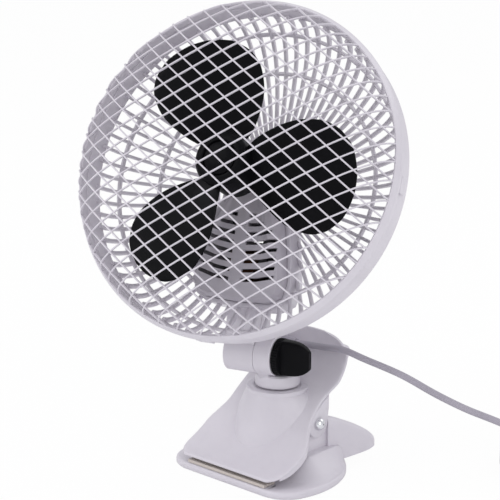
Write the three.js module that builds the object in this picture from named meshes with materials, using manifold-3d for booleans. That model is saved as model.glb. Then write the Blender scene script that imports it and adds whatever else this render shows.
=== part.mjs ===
// Clip fan: a caged desk fan on a spring clamp, in millimetres, +Z up, the clamp's mouth towards -Y.
// The origin is the middle of the round foot, on the table.
import * as THREE from "three";
import { mergeVertices } from "three/addons/utils/BufferGeometryUtils.js";
import Module from "manifold-3d";

const wasm = await Module();
wasm.setup();

// ---------------------------------------------------------------- driving dimensions
const CLEARANCE = 0.3; // between pieces that touch
const RUNNING_GAP = 0.5; // between pieces that move on each other
const SEGMENTS = 24;

const FOOT_RADIUS = 49;
const FOOT_THICKNESS = 4.2;
const LIP_FRONT = -25; // y of both lips
const LIP_HALF_WIDTH = 31;
const PAD_THICKNESS = 1.8;
const PAD_DEPTH = 9;
const EAR_WALL = 2.6;
const EAR_RADIUS = 4.6;
const PIN_Y = 20;
const PIN_Z = 30;
const PIN_RADIUS = 2.2;
const PIN_HEAD_RADIUS = 3.5;
const PIN_HEAD_HEIGHT = 3.2;
const SPRING_WIRE = 1.8;
const SPRING_RADIUS = 6.2;
const SPRING_PITCH = 2.6;
const SPRING_TURNS = 5;
const JAW_WALL = 2.2;
const JAW_WAIST = 30; // half-width of the upper jaw at the pin
const SKIRT_RADIUS = 8; // of the upper jaw's ears round the pin
const HANDLE_WALL = 2.4;

const TURRET_Y = 19;
const SOCKET_RADIUS = 17.4;
const SOCKET_TOP = 47;
const TURRET_RADIUS = 12.8;
const TURRET_TOP = 54.8;
const POST_RADIUS = 5;
const POST_LENGTH = 5.7;
const PAN = 16.67; // degrees, turret to the left of straight ahead
const TILT = 25.2; // degrees, fan face upwards

const PIVOT_FORWARD = 9; // tilt axis in front of the turret's axis
const PIVOT_Z = 66.3;
const BARREL_RADIUS = 11;
const NECK_OFFSET = 15.4; // head's middle plane to the side of the turret's axis
const NECK_HALF_WIDTH = 9.1;
const EAR_THICKNESS = 6.4;
const BOLT_RADIUS = 2.4;
const KNOB_DISC = 4;
const KNOB_REACH = 20.4;
const WING_HEIGHT = 19.6;
const WING_THICKNESS = 7;

const HEAD_BACK = 58.9; // pivot behind the guard's front plane
const HEAD_DROP = 91.6; // pivot under the fan's axis
const RIM_RADIUS = 95;
const RIM_WIDTH = 3.6;
const RIM_BITE = 0.9; // how far the strands run into the rim
const RIM_FRONT = -3.2;
const RIM_BACK = 3;
const DOME_HEIGHT = 27;
const MESH_PITCH = 8.6;
const MESH_ANGLES = [-34, 34]; // degrees of the two families of strands
const MESH_WIDTH = 1.4;
const MESH_THICKNESS = 1.5;
const BAND_RADIUS = RIM_RADIUS - 1.5;
const BAND_WALL = 2;
const BAND_BACK = 17;
const BARS = 72;
const BAR_WIDTH = 2;
const BAR_THICKNESS = 2.2;
const BOWL_DEPTH = 50;
const BOWL_RING = 66;
const BOWL_CENTRE = 32;
const COLLAR_WALL = 2.2;

const HUB_RADIUS = 13.8;
const HUB_FRONT = -18;
const HUB_BACK = 6;
const BLADE_TIP = 72;
const BLADE_THICKNESS = 1.6;
const BLADE_ANGLE = -6; // degrees, first blade from the side
const CAP_RADIUS = 9;
const SHAFT_RADIUS = 1.5;

const COVER_FRONT = 20; // front face of the motor cover at the slots' top
const COVER_LEAN = 0.167; // the face leans back by this share downwards
const COVER_SPLIT = 42;
const POD_BACK = 61;
const POD_WALL = 1.8;
const SLOTS = 8;
const SLOT_PITCH = 5.1;
const SLOT_HEIGHT = 2.1;
const SLOT_TOP = -21;
const SLOT_SMILE = 0.007;
const STATOR_DEPTH = 12;
const ROTOR_CORE_RADIUS = 7.5;

const CORD = 3.8;
const RELIEF_LENGTH = 22;
const LEAD_END = 40; // x where the stretch that moves with the upper jaw ends
const RELIEF_SPIGOT = 3;
const COIL_X = 120.5;
const COIL_Y = 116.5;
const COIL_INNER = 15.4;
const COIL_STEP = 4.9;
const COIL_LAYER = 4.6;
const COIL_LAYERS = 4;
const COIL_TURNS = 2.125; // in each layer, between the half turns that climb
const COIL_EXTRA = 4; // 24ths of a turn that the lowest layer has more
const PLUG_LENGTH = 34;
const PLUG_PIN_RADIUS = 2.2;
const PLUG_PIN_LENGTH = 19;
const PLUG_PIN_SPACING = 9.5;

// ---------------------------------------------------------------- materials
const finish = (color, roughness, metalness = 0) =>
  new THREE.MeshStandardMaterial({ color, roughness, metalness });
const WHITE = finish(0xd8d6e0, 0.45);
const BLACK = finish(0x121214, 0.35);
const RUBBER = finish(0xb9b2a2, 0.8);
const STEEL = finish(0xc4c6ca, 0.25, 1);
const CORE = finish(0x5b5d62, 0.5, 0.8);
const COPPER = finish(0xa65b2c, 0.4, 0.7);
const BRASS = finish(0xc8b26a, 0.35, 0.9);
const CORD_GREY = finish(0xb4b0b8, 0.5);

// ---------------------------------------------------------------- geometry helpers
const radians = THREE.MathUtils.degToRad;
const range = (count) => Array.from({ length: count }, (_, i) => i);
const mix = (a, b, t) => a + (b - a) * t;
const vec = (x, y, z) => new THREE.Vector3(x, y, z);

/** Turns a closed three.js geometry into a solid that can be joined and cut. */
function solid(geometry) {
  const bare = geometry.clone();
  bare.deleteAttribute("normal");
  bare.deleteAttribute("uv");
  const merged = mergeVertices(bare, 1e-4);
  const faces = [];
  const all = merged.index.array;
  for (let i = 0; i < all.length; i += 3) {
    const [a, b, c] = [all[i], all[i + 1], all[i + 2]];
    if (a !== b && b !== c && c !== a) faces.push(a, b, c);
  }
  const triVerts = new Uint32Array(faces);
  const vertProperties = new Float32Array(merged.attributes.position.array);
  return new wasm.Manifold(new wasm.Mesh({ numProp: 3, vertProperties, triVerts }));
}

/** Names a solid and gives it its finish. */
function piece(name, body, material) {
  const mesh = body.getMesh();
  const geometry = new THREE.BufferGeometry();
  geometry.setAttribute("position", new THREE.BufferAttribute(mesh.vertProperties, 3));
  geometry.setIndex(new THREE.BufferAttribute(mesh.triVerts, 1));
  const flat = geometry.toNonIndexed();
  flat.computeVertexNormals();
  const made = new THREE.Mesh(flat, material);
  made.name = name;
  return made;
}

const joined = (...bodies) => bodies.flat().reduce((a, b) => a.add(b));
const cut = (body, ...tools) => tools.flat().reduce((a, b) => a.subtract(b), body);

function box(x0, x1, y0, y1, z0, z1) {
  const g = new THREE.BoxGeometry(x1 - x0, y1 - y0, z1 - z0);
  return solid(g.translate((x0 + x1) / 2, (y0 + y1) / 2, (z0 + z1) / 2));
}

/** A prism: the outline is (y, z) for axis x, (x, z) for axis y, (x, y) for axis z. */
function prism(outline, axis, from, to) {
  const shape = new THREE.Shape(outline.map(([u, v]) => new THREE.Vector2(u, v)));
  const g = new THREE.ExtrudeGeometry(shape, { depth: to - from, bevelEnabled: false });
  const turn = new THREE.Matrix4();
  if (axis === "x") turn.set(0, 0, 1, from, 1, 0, 0, 0, 0, 1, 0, 0, 0, 0, 0, 1);
  if (axis === "y") turn.set(1, 0, 0, 0, 0, 0, -1, to, 0, 1, 0, 0, 0, 0, 0, 1);
  if (axis === "z") turn.makeTranslation(0, 0, from);
  return solid(g.applyMatrix4(turn));
}

const circle = (radius, cu = 0, cv = 0, count = SEGMENTS) =>
  range(count).map((i) => {
    const a = (2 * Math.PI * i) / count;
    return [cu + radius * Math.cos(a), cv + radius * Math.sin(a)];
  });

const rod = (axis, radius, from, to, cu = 0, cv = 0, count = SEGMENTS) =>
  prism(circle(radius, cu, cv, count), axis, from, to);

/** A solid of revolution about Y from a closed (radius, y) profile. */
function turned(profile, count = SEGMENTS) {
  const points = [...profile, profile[0]].map(([r, y]) => new THREE.Vector2(r, y));
  const body = new THREE.LatheGeometry(points, count);
  const made = solid(body);
  return made.volume() < 0 ? solid(reversed(body)) : made;
}

function reversed(geometry) {
  const index = geometry.index.array;
  for (let i = 0; i < index.length; i += 3) [index[i + 1], index[i + 2]] = [index[i + 2], index[i + 1]];
  return geometry;
}

/** Moves a solid by a three.js matrix, through its mesh. */
function moved(body, matrix) {
  const mesh = body.getMesh();
  const geometry = new THREE.BufferGeometry();
  geometry.setAttribute("position", new THREE.BufferAttribute(mesh.vertProperties, 3));
  geometry.setIndex(new THREE.BufferAttribute(mesh.triVerts, 1));
  return solid(geometry.applyMatrix4(matrix));
}

/** A closed body through rings of as many points each, capped flat at both ends. */
function lofted(rings) {
  const n = rings[0].length;
  const points = rings.flat();
  const index = [];
  for (let i = 0; i + 1 < rings.length; i++)
    for (let k = 0; k < n; k++) {
      const [a, b] = [i * n + k, i * n + ((k + 1) % n)];
      index.push(a, b, b + n, a, b + n, a + n);
    }
  const last = (rings.length - 1) * n;
  for (let k = 1; k + 1 < n; k++) {
    index.push(0, k + 1, k);
    index.push(last, last + k, last + k + 1);
  }
  const geometry = new THREE.BufferGeometry().setFromPoints(points).setIndex(index);
  const made = solid(geometry);
  return made.volume() < 0 ? solid(reversed(geometry)) : made;
}

/** A sheet of one thickness under a grid of points: rows of as many points each. */
function sheet(rows, thickness, lift = 0) {
  const [nu, nv] = [rows.length, rows[0].length];
  const normal = (i, k) => {
    const du = rows[Math.min(i + 1, nu - 1)][k].clone().sub(rows[Math.max(i - 1, 0)][k]);
    const dv = rows[i][Math.min(k + 1, nv - 1)].clone().sub(rows[i][Math.max(k - 1, 0)]);
    return dv.cross(du).normalize();
  };
  const side = (offset) =>
    rows.flatMap((row, i) => row.map((p, k) => p.clone().addScaledVector(normal(i, k), offset)));
  const points = [...side(lift), ...side(lift - thickness)];
  const far = nu * nv;
  const index = [];
  for (let i = 0; i + 1 < nu; i++)
    for (let k = 0; k + 1 < nv; k++) {
      const [a, b, c, d] = [i * nv + k, i * nv + k + 1, (i + 1) * nv + k + 1, (i + 1) * nv + k];
      index.push(a, b, c, a, c, d, far + a, far + c, far + b, far + a, far + d, far + c);
    }
  const edge = [];
  for (let k = 0; k + 1 < nv; k++) edge.push([k, k + 1]);
  for (let i = 0; i + 1 < nu; i++) edge.push([i * nv + nv - 1, (i + 1) * nv + nv - 1]);
  for (let k = nv - 1; k > 0; k--) edge.push([(nu - 1) * nv + k, (nu - 1) * nv + k - 1]);
  for (let i = nu - 1; i > 0; i--) edge.push([i * nv, (i - 1) * nv]);
  edge.forEach(([p, q]) => index.push(q, p, far + p, q, far + p, far + q));
  const geometry = new THREE.BufferGeometry().setFromPoints(points).setIndex(index);
  const made = solid(geometry);
  return made.volume() < 0 ? solid(reversed(geometry)) : made;
}

/** A round cord or wire along a smooth path, square at both ends. */
function tube(points, diameter, steps, sides, flat = 0) {
  const path = new THREE.CatmullRomCurve3(points, false, "centripetal");
  path.arcLengthDivisions = steps * 6;
  const shape = new THREE.Shape(
    circle(diameter / 2, 0, 0, sides).map(([u, v]) => new THREE.Vector2(u, v)),
  );
  const g = new THREE.ExtrudeGeometry(shape, { steps, extrudePath: path, bevelEnabled: false });
  const made = solid(g);
  const body = made.volume() < 0 ? solid(reversed(mergeVertices(g))) : made;
  return flat ? cut(body, box(-400, 400, -400, 400, -50, 0)) : body;
}

/**
 * A thin net on a surface. The plan is a graph of nodes in (x, z), joined by links that get one width.
 * Corners are mitred, so the whole net is one closed skin, and a node with one link ends square.
 * A strand is flat in front and runs to a ridge behind, as a moulded guard does.
 * @param nodes points [x, z] of the plan
 * @param links pairs of node numbers
 * @param width of every strand in the plan
 * @param thickness of every strand across the surface
 * @param depth y of the surface at a radius, with the front towards -y
 */
function net(nodes, links, width, thickness, depth) {
  const around = nodes.map(() => []);
  links.forEach(([a, b]) => {
    const [dx, dz] = [nodes[b][0] - nodes[a][0], nodes[b][1] - nodes[a][1]];
    const length = Math.hypot(dx, dz);
    around[a].push({ to: b, d: [dx / length, dz / length] });
    around[b].push({ to: a, d: [-dx / length, -dz / length] });
  });
  const points = [];
  const corner = (x, z, lift = 1) => {
    const r = Math.hypot(x, z);
    const slope = (depth(r + 0.1) - depth(Math.max(r - 0.1, 0))) / 0.2;
    const out = r > 1e-6 ? [x / r, z / r] : [0, 0];
    const n = vec(out[0] * slope, -1, out[1] * slope).normalize();
    const at = vec(x, depth(r), z);
    points.push(at.addScaledVector(n, (lift * thickness) / 2));
    return points.length - 1;
  };
  const ridge = nodes.map(([x, z]) => corner(x, z, -1));
  const index = [];
  const quad = (a, b, c, d) => index.push(a, b, c, a, c, d);
  const half = width / 2;
  around.forEach((spokes, i) => {
    spokes.sort((p, q) => Math.atan2(p.d[1], p.d[0]) - Math.atan2(q.d[1], q.d[0]));
    const count = spokes.length;
    const [x, z] = nodes[i];
    if (count === 1) {
      const [dx, dz] = spokes[0].d;
      spokes[0].left = corner(x - half * dz, z + half * dx);
      spokes[0].right = corner(x + half * dz, z - half * dx);
      const { left, right } = spokes[0];
      index.push(right, left, ridge[i]);
      return;
    }
    const ring = spokes.map(({ d }, k) => {
      const e = spokes[(k + 1) % count].d;
      const sine = d[0] * e[1] - d[1] * e[0];
      if (Math.abs(sine) < 0.05) return corner(x - half * d[1], z + half * d[0]);
      return corner(x + (half * (d[0] + e[0])) / sine, z + (half * (d[1] + e[1])) / sine);
    });
    spokes.forEach((spoke, k) => {
      spoke.left = ring[k];
      spoke.right = ring[(k + count - 1) % count];
    });
    for (let k = 1; k + 1 < count; k++) index.push(ring[0], ring[k], ring[k + 1]);
  });
  links.forEach(([a, b]) => {
    const go = around[a].find(({ to }) => to === b);
    const back = around[b].find(({ to }) => to === a);
    quad(go.right, back.left, back.right, go.left);
    quad(go.left, back.right, ridge[b], ridge[a]);
    quad(back.left, go.right, ridge[a], ridge[b]);
  });
  const geometry = new THREE.BufferGeometry().setFromPoints(points).setIndex(index);
  const made = solid(geometry);
  return made.volume() < 0 ? solid(reversed(geometry)) : made;
}

// ---------------------------------------------------------------- clamp
/** Both halves of an outline given for x >= 0, from the front to the back. */
const mirrored = (half) => [...half, ...half.map(([x, y]) => [-x, y]).reverse()];

const onSides = (make) => [-1, 1].map(make);

function footOutline() {
  const start = radians(-16);
  const rim = range(15).map((i) => {
    const a = mix(start, Math.PI / 2, i / 14.5);
    return [FOOT_RADIUS * Math.cos(a), FOOT_RADIUS * Math.sin(a)];
  });
  const corner = [
    [LIP_HALF_WIDTH, LIP_FRONT],
    [LIP_HALF_WIDTH + 5, LIP_FRONT + 1.2],
    [LIP_HALF_WIDTH + 11.5, LIP_FRONT + 5],
  ];
  return mirrored([...corner, ...rim]);
}

const LOWER_EAR_OUTER = JAW_WAIST - JAW_WALL - RUNNING_GAP;
const HANDLE_TOP = [
  [LOWER_EAR_OUTER, PIN_Y + 9.4, PIN_Z + 1],
  [JAW_WAIST + 1.5, PIN_Y + 18, PIN_Z - 4],
  [JAW_WAIST + 5, PIN_Y + 30, PIN_Z - 11.5],
  [JAW_WAIST + 7.5, PIN_Y + 41, PIN_Z - 18],
];
const HANDLE_LOW = [
  [LOWER_EAR_OUTER, PIN_Y + 9.4, FOOT_THICKNESS],
  [JAW_WAIST + 3, PIN_Y + 13, FOOT_THICKNESS],
  [JAW_WAIST + 6.5, PIN_Y + 28, FOOT_THICKNESS + 2.5],
  [JAW_WAIST + 7.5, PIN_Y + 40.5, FOOT_THICKNESS + 4.5],
];

function lowerJaw() {
  const plate = prism(footOutline(), "z", 0, FOOT_THICKNESS);
  const earOutline = [
    [PIN_Y - 15, FOOT_THICKNESS - 1],
    [PIN_Y + 12, FOOT_THICKNESS - 1],
    [PIN_Y + 12, PIN_Z - 3],
    ...circle(EAR_RADIUS, PIN_Y, PIN_Z, 16).slice(0, 9),
  ];
  const ears = onSides((s) => {
    const [a, b] = [s * LOWER_EAR_OUTER, s * (LOWER_EAR_OUTER - EAR_WALL)];
    return prism(earOutline, "x", Math.min(a, b), Math.max(a, b));
  });
  const tray = sheet(
    HANDLE_TOP.map(([w, y, z]) => [-1, -0.5, 0, 0.5, 1].map((v) => vec(w * v, y, z + 1.2 * (1 - v * v)))),
    HANDLE_WALL,
  );
  const skirts = onSides((s) =>
    sheet(
      HANDLE_TOP.map(([w, y, z], i) => {
        const [lw, ly, lz] = HANDLE_LOW[i];
        return [vec(s * w, y, z - 0.4), vec(s * mix(w, lw, 0.5), mix(y, ly, 0.5), mix(z, lz, 0.5)),
          vec(s * lw, ly, lz - 0.4)];
      }),
      s * HANDLE_WALL,
    ),
  );
  const flares = onSides((s) => {
    const rows = range(5).map((i) => {
      const y = mix(PIN_Y - 17, PIN_Y + 11, i / 4);
      const rim = Math.sqrt(FOOT_RADIUS ** 2 - y ** 2) - 3;
      return range(4).map((k) => {
        const t = k / 3;
        const z = mix(FOOT_THICKNESS - 1, PIN_Z - 13, t);
        return vec(s * mix(rim, JAW_WAIST + 2.6, Math.sin((t * Math.PI) / 2)), y, z);
      });
    });
    return sheet(rows, s * JAW_WALL);
  });
  const bore = rod("x", PIN_RADIUS + CLEARANCE, -60, 60, PIN_Y, PIN_Z, 16);
  return cut(joined(plate, ears, tray, skirts, flares), bore);
}

function padStrip(y0, y1, halfWidth, z0, z1, ribs) {
  const base = box(-halfWidth, halfWidth, y0, y1, z0, z1);
  const pitch = (y1 - y0) / ribs;
  const grooves = range(ribs - 1).map((i) => {
    const y = y0 + pitch * (i + 1);
    return box(-halfWidth - 1, halfWidth + 1, y - 0.4, y + 0.4, z1 - 0.6, z1 + 1);
  });
  return cut(base, grooves);
}

// Mouth of the cord's outlet in front of the lobe.
const OUTLET = [-25, 38.6, 66];

// Stations of the upper jaw along its middle line: y, z, half-width, and how far the side edge
// lies behind and above the middle.
const JAW_STATIONS = [
  [LIP_FRONT, 9, LIP_HALF_WIDTH, 0, 0],
  [LIP_FRONT + 4, 10.2, LIP_HALF_WIDTH + 4.5, 0, 0],
  [-16, 12.2, 37.5, 0, -0.2],
  [-8, 15.8, 38, 0, -0.4],
  [-3, 19, 38, 0, -0.8],
  [2, 23, 37.2, 0, -0.8],
  [7, 28, 34, 0, -0.8],
  [12, 33, JAW_WAIST + 1, 0, -0.6],
  [18, 38.5, JAW_WAIST, 0, -0.3],
  [24, 42.8, JAW_WAIST - 0.3, 0, 0],
  [30, 46.6, JAW_WAIST + 0.2, 0, 0],
  [36, 50.8, JAW_WAIST + 2, -1, 0.5],
  [41, 57.2, JAW_WAIST + 3.2, -2.5, 1.6],
  [44.5, 63.5, JAW_WAIST + 3, -4, 1.8],
  [46.8, 68.2, JAW_WAIST - 1, -4.2, 1.4],
  [48.2, 71.6, JAW_WAIST - 8, -3, 0.6],
  [49, 73.8, JAW_WAIST - 20, -0.8, 0],
];
const ACROSS = [-1, -0.7, 0, 0.7, 1];

const jawRows = (stations) =>
  stations.map(([y, z, w, dy, dz]) => ACROSS.map((v) => vec(w * v, y + dy * v * v, z + dz * v * v)));

/** Height of the upper jaw's top surface on its middle line. */
function jawHeight(y) {
  const i = Math.max(1, JAW_STATIONS.findIndex((s) => s[0] >= y));
  const [a, b] = [JAW_STATIONS[i - 1], JAW_STATIONS[i]];
  return mix(a[1], b[1], (y - a[0]) / (b[0] - a[0]));
}

// Plan of the turret's pedestal: a rounded oval, longer in front than behind.
const PEDESTAL_MIDDLE = 18;
const PEDESTAL_SIDE = 24;
const PEDESTAL_FRONT = 26;
const PEDESTAL_BEHIND = 18;
const PEDESTAL_ROUND = 1.2; // 1 is an ellipse, and more is closer to a diamond

function pedestalPlan() {
  const bent = (value) => Math.sign(value) * Math.abs(value) ** PEDESTAL_ROUND;
  return circle(1, 0, 0, 24).map(([x, y]) => [
    PEDESTAL_SIDE * bent(x),
    PEDESTAL_MIDDLE + (y < 0 ? PEDESTAL_FRONT : PEDESTAL_BEHIND) * bent(y),
  ]);
}

function pedestal(inset) {
  const plan = pedestalPlan();
  const away = plan.map(([x, y]) => Math.hypot(x, y - TURRET_Y));
  const ring = (share, height) =>
    plan.map(([x, y], i) => {
      const scale = mix((away[i] - inset) / away[i], (SOCKET_RADIUS - inset) / away[i], share);
      const base = Math.min(jawHeight(y) - JAW_WALL * 0.45, SOCKET_TOP - 4);
      return vec(x * scale, TURRET_Y + (y - TURRET_Y) * scale, mix(base, SOCKET_TOP - 2.6, height));
    });
  const top = (radius, z) =>
    plan.map(([x, y], i) => {
      const scale = radius / away[i];
      return vec(x * scale, TURRET_Y + (y - TURRET_Y) * scale, z);
    });
  const skin = [ring(0, 0), ring(0.3, 0.55), ring(1, 1)];
  const bead = [top(SOCKET_RADIUS, SOCKET_TOP - 1), top(SOCKET_RADIUS - 1.6, SOCKET_TOP)];
  if (!inset) return lofted([...skin, ...bead]);
  const below = ring(0, 0).map((p) => vec(p.x, p.y, p.z - JAW_WALL * 4));
  return lofted([below, ...skin.map((r) => r.map((p) => vec(p.x, p.y, p.z - inset)))]);
}

function upperJaw() {
  const shell = sheet(jawRows(JAW_STATIONS), JAW_WALL);
  const low = circle(SKIRT_RADIUS, PIN_Y, PIN_Z, 24).slice(13, 24);
  const high = range(8).map((i) => mix(PIN_Y + 9, PIN_Y - 14, i / 7));
  const outline = [...low, [PIN_Y + 9, PIN_Z + 8], ...high.map((y) => [y, jawHeight(y) - JAW_WALL / 2])];
  const skirts = onSides((s) => {
    const [x0, x1] = [s * JAW_WAIST, s * (JAW_WAIST - JAW_WALL)];
    return prism(outline, "x", Math.min(x0, x1), Math.max(x0, x1));
  });
  const room = rod("z", TURRET_RADIUS + RUNNING_GAP * 2, SOCKET_TOP, SOCKET_TOP + 20, 0, TURRET_Y);
  const hollow = pedestal(JAW_WALL);
  const body = cut(joined(cut(shell, hollow), cut(pedestal(0), hollow), skirts), room);
  const post = rod("z", POST_RADIUS + CLEARANCE, 30, SOCKET_TOP + 1, 0, TURRET_Y, 24);
  const bore = rod("x", PIN_RADIUS + CLEARANCE, -60, 60, PIN_Y, PIN_Z, 16);
  const [x, y, z] = OUTLET;
  const outlet = joined(
    rod("x", 5, x - 5.4, x - CLEARANCE, y, z, 20),
    box(x - 5.4, x - CLEARANCE, y, y + 5, z - 3, z + 3),
  );
  const spigot = rod("x", RELIEF_SPIGOT + CLEARANCE, x - 4.4, x + 1, y, z, 16);
  return cut(joined(body, outlet), post, bore, spigot);
}

/** The strip under the upper jaw, behind the lower pad's place. */
function upperPad() {
  const rows = [-13.5, -10, -6.5].map((y) =>
    [-1, 0, 1].map((v) => vec(v * (LIP_HALF_WIDTH - 2), y, jawHeight(y) - JAW_WALL * 1.12 - 2 * CLEARANCE)),
  );
  return sheet(rows, PAD_THICKNESS);
}

function torsionSpring() {
  const turns = SPRING_TURNS;
  const length = SPRING_PITCH * turns;
  const coil = range(turns * 12 + 1).map((i) => {
    const a = (2 * Math.PI * i) / 12;
    const x = mix(-length / 2, length / 2, i / (turns * 12));
    return vec(x, PIN_Y - SPRING_RADIUS * Math.sin(a), PIN_Z - SPRING_RADIUS * Math.cos(a));
  });
  const legs = [
    vec(-length / 2, PIN_Y + 15, FOOT_THICKNESS + SPRING_WIRE / 2 + CLEARANCE),
    vec(length / 2, PIN_Y - 13, PIN_Z - SPRING_RADIUS - 2),
  ];
  return tube([legs[0], ...coil, legs[1]], SPRING_WIRE, turns * 9, 4);
}

function clampPin() {
  const half = JAW_WAIST + CLEARANCE;
  const head = onSides((s) => {
    const profile = [
      [0, 0],
      [PIN_HEAD_RADIUS, 0],
      [PIN_HEAD_RADIUS, PIN_HEAD_HEIGHT * 0.35],
      [PIN_HEAD_RADIUS * 0.8, PIN_HEAD_HEIGHT * 0.75],
      [PIN_HEAD_RADIUS * 0.4, PIN_HEAD_HEIGHT * 0.96],
      [0, PIN_HEAD_HEIGHT],
    ];
    const turn = new THREE.Matrix4().makeRotationZ((-s * Math.PI) / 2).setPosition(s * half, PIN_Y, PIN_Z);
    return moved(turned(profile, 14), turn);
  });
  return joined(rod("x", PIN_RADIUS, -half - 0.2, half + 0.2, PIN_Y, PIN_Z, 16), head);
}

// ---------------------------------------------------------------- back of the lobe
const LOBE_Y = 43.4;
const LOBE_Z = 61.4;
const LOBE_LEAN = radians(-28);
const REAR_WIDTH = 40;
const REAR_HEIGHT = 20;
const REAR_DEPTH = 11;
const SWITCH_KNOB_RADIUS = 6.5;

/** A box with rounded corners, open or closed, with its depth along +Y. */
function rounded(width, height, y0, y1, radius) {
  const [w, h] = [width / 2 - radius, height / 2 - radius];
  const outline = range(16).map((i) => {
    const a = (2 * Math.PI * (i + 0.5)) / 16;
    const [c, s] = [Math.cos(a), Math.sin(a)];
    return [Math.sign(c) * w + radius * c, Math.sign(s) * h + radius * s];
  });
  return prism(outline, "y", y0, y1);
}

// Local frame of the lobe's back: +Y points away from the lobe, +Z up along it.
const REAR_Y0 = JAW_WALL + 2 * CLEARANCE;

function rearCover() {
  const outer = rounded(REAR_WIDTH, REAR_HEIGHT, REAR_Y0, REAR_Y0 + REAR_DEPTH, 4);
  const inner = rounded(REAR_WIDTH - 3.6, REAR_HEIGHT - 3.6, REAR_Y0 - 1, REAR_Y0 + REAR_DEPTH - 1.8, 3);
  return cut(outer, inner, rod("y", 3 + CLEARANCE, 0, 40, 0, 0, 20));
}

/** The rotary switch behind the cover's wall, with a bore for the knob's stem. */
function switchBody() {
  const back = REAR_Y0 + REAR_DEPTH - 1.8 - CLEARANCE;
  return cut(rounded(13, 13, back - 6.5, back, 2), rod("y", 2.4 + CLEARANCE, 0, 40, 0, 0, 16));
}

function switchKnob() {
  const y = REAR_Y0 + REAR_DEPTH + CLEARANCE;
  const side = [[0, y], [SWITCH_KNOB_RADIUS, y], [SWITCH_KNOB_RADIUS, y + 2], [5.6, y + 3], [0, y + 3]];
  const skirt = turned(side, 18);
  const grip = box(-1.7, 1.7, y + 1, y + 7, -SWITCH_KNOB_RADIUS + 0.8, SWITCH_KNOB_RADIUS - 0.8);
  const stem = rod("y", 2.4, y - 6, y + 1, 0, 0, 16);
  return joined(skirt, grip, stem);
}

// ---------------------------------------------------------------- turret, frame on its axis
function turretBody() {
  const bottom = SOCKET_TOP + CLEARANCE;
  const base = moved(
    turned([
      [0, bottom - POST_LENGTH],
      [POST_RADIUS, bottom - POST_LENGTH],
      [POST_RADIUS, bottom],
      [TURRET_RADIUS - 0.6, bottom],
      [TURRET_RADIUS, bottom + 0.8],
      [TURRET_RADIUS - 0.4, TURRET_TOP - 1],
      [TURRET_RADIUS - 1.4, TURRET_TOP],
      [0, TURRET_TOP],
    ]),
    new THREE.Matrix4().makeRotationX(Math.PI / 2),
  );
  const barrel = circle(BARREL_RADIUS, -PIVOT_FORWARD, PIVOT_Z, 32);
  const web = [
    [-TURRET_RADIUS + 1.6, TURRET_TOP - 2],
    [6, TURRET_TOP - 2],
    [BARREL_RADIUS - PIVOT_FORWARD, PIVOT_Z],
    [-PIVOT_FORWARD - BARREL_RADIUS + 1, PIVOT_Z - 3],
  ];
  const x0 = NECK_HALF_WIDTH - NECK_OFFSET + CLEARANCE;
  const x1 = x0 + EAR_THICKNESS;
  const ear = joined(prism(barrel, "x", x0, x1), prism(web, "x", x0, x1));
  const bore = rod("x", BOLT_RADIUS + CLEARANCE, -40, 40, -PIVOT_FORWARD, PIVOT_Z, 16);
  return cut(joined(base, ear), bore, rod("z", 1.4, 0, TURRET_TOP - 8, 0, 0, 12));
}

const WASHER_TOP = SOCKET_TOP - POST_LENGTH;
const WASHER_THICKNESS = 1;

const swivelWasher = () =>
  cut(
    rod("z", POST_RADIUS + 2.4, WASHER_TOP - WASHER_THICKNESS, WASHER_TOP, 0, 0, 24),
    rod("z", 1.4, 0, TURRET_TOP, 0, 0, 12),
  );

function swivelScrew() {
  const top = WASHER_TOP - WASHER_THICKNESS - CLEARANCE;
  const shank = rod("z", 1.1, top - 0.5, TURRET_TOP - 9, 0, 0, 12);
  return rod("z", 3.2, top - 1.6, top, 0, 0, 16).add(shank);
}

const EAR_OUTER = NECK_HALF_WIDTH - NECK_OFFSET + CLEARANCE + EAR_THICKNESS;

function tiltKnob() {
  const x0 = EAR_OUTER + CLEARANCE;
  const disc = rod("x", BARREL_RADIUS, x0, x0 + KNOB_DISC, -PIVOT_FORWARD, PIVOT_Z, 32);
  const half = WING_THICKNESS / 2;
  const [u, w] = [KNOB_REACH, WING_HEIGHT / 2];
  const wing = [
    [x0 + KNOB_DISC - 1, -half - 2.4],
    [x0 + u * 0.55, -half - 0.6],
    [x0 + u, -half],
    [x0 + u, half],
    [x0 + u * 0.55, half + 0.6],
    [x0 + KNOB_DISC - 1, half + 2.4],
  ].map(([x, y]) => [x, y - PIVOT_FORWARD]);
  const profile = [
    [x0, -w - 0.6], [x0 + u * 0.72, -w + 0.6], [x0 + u - 2.4, -w + 2.6], [x0 + u, -w + 6],
    [x0 + u, w - 6], [x0 + u - 2.4, w - 2.6], [x0 + u * 0.72, w - 0.6], [x0, w + 0.6],
  ].map(([x, z]) => [x, z + PIVOT_Z]);
  const grip = prism(wing, "z", PIVOT_Z - 20, PIVOT_Z + 20).intersect(prism(profile, "y", -40, 40));
  const turning = rod("x", BARREL_RADIUS, x0, x0 + u, -PIVOT_FORWARD, PIVOT_Z, 32);
  const socket = rod("x", BOLT_RADIUS + CLEARANCE, x0 - 1, x0 + 9, -PIVOT_FORWARD, PIVOT_Z, 16);
  return cut(joined(disc, grip.intersect(turning)), socket);
}

function tiltBolt() {
  const left = -NECK_OFFSET - NECK_HALF_WIDTH + 2.4;
  const head = rod("x", 4.2, left, left + 2.2, -PIVOT_FORWARD, PIVOT_Z, 6);
  return head.add(rod("x", BOLT_RADIUS, left + 1, EAR_OUTER + 8, -PIVOT_FORWARD, PIVOT_Z, 16));
}

// ---------------------------------------------------------------- head, frame on the fan's axis
const DOME_RADIUS = RIM_RADIUS - RIM_WIDTH + 0.8;
const domeDepth = (r) => -DOME_HEIGHT * Math.sqrt(Math.max(1 - (r / DOME_RADIUS) ** 3, 0.0004));

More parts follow.
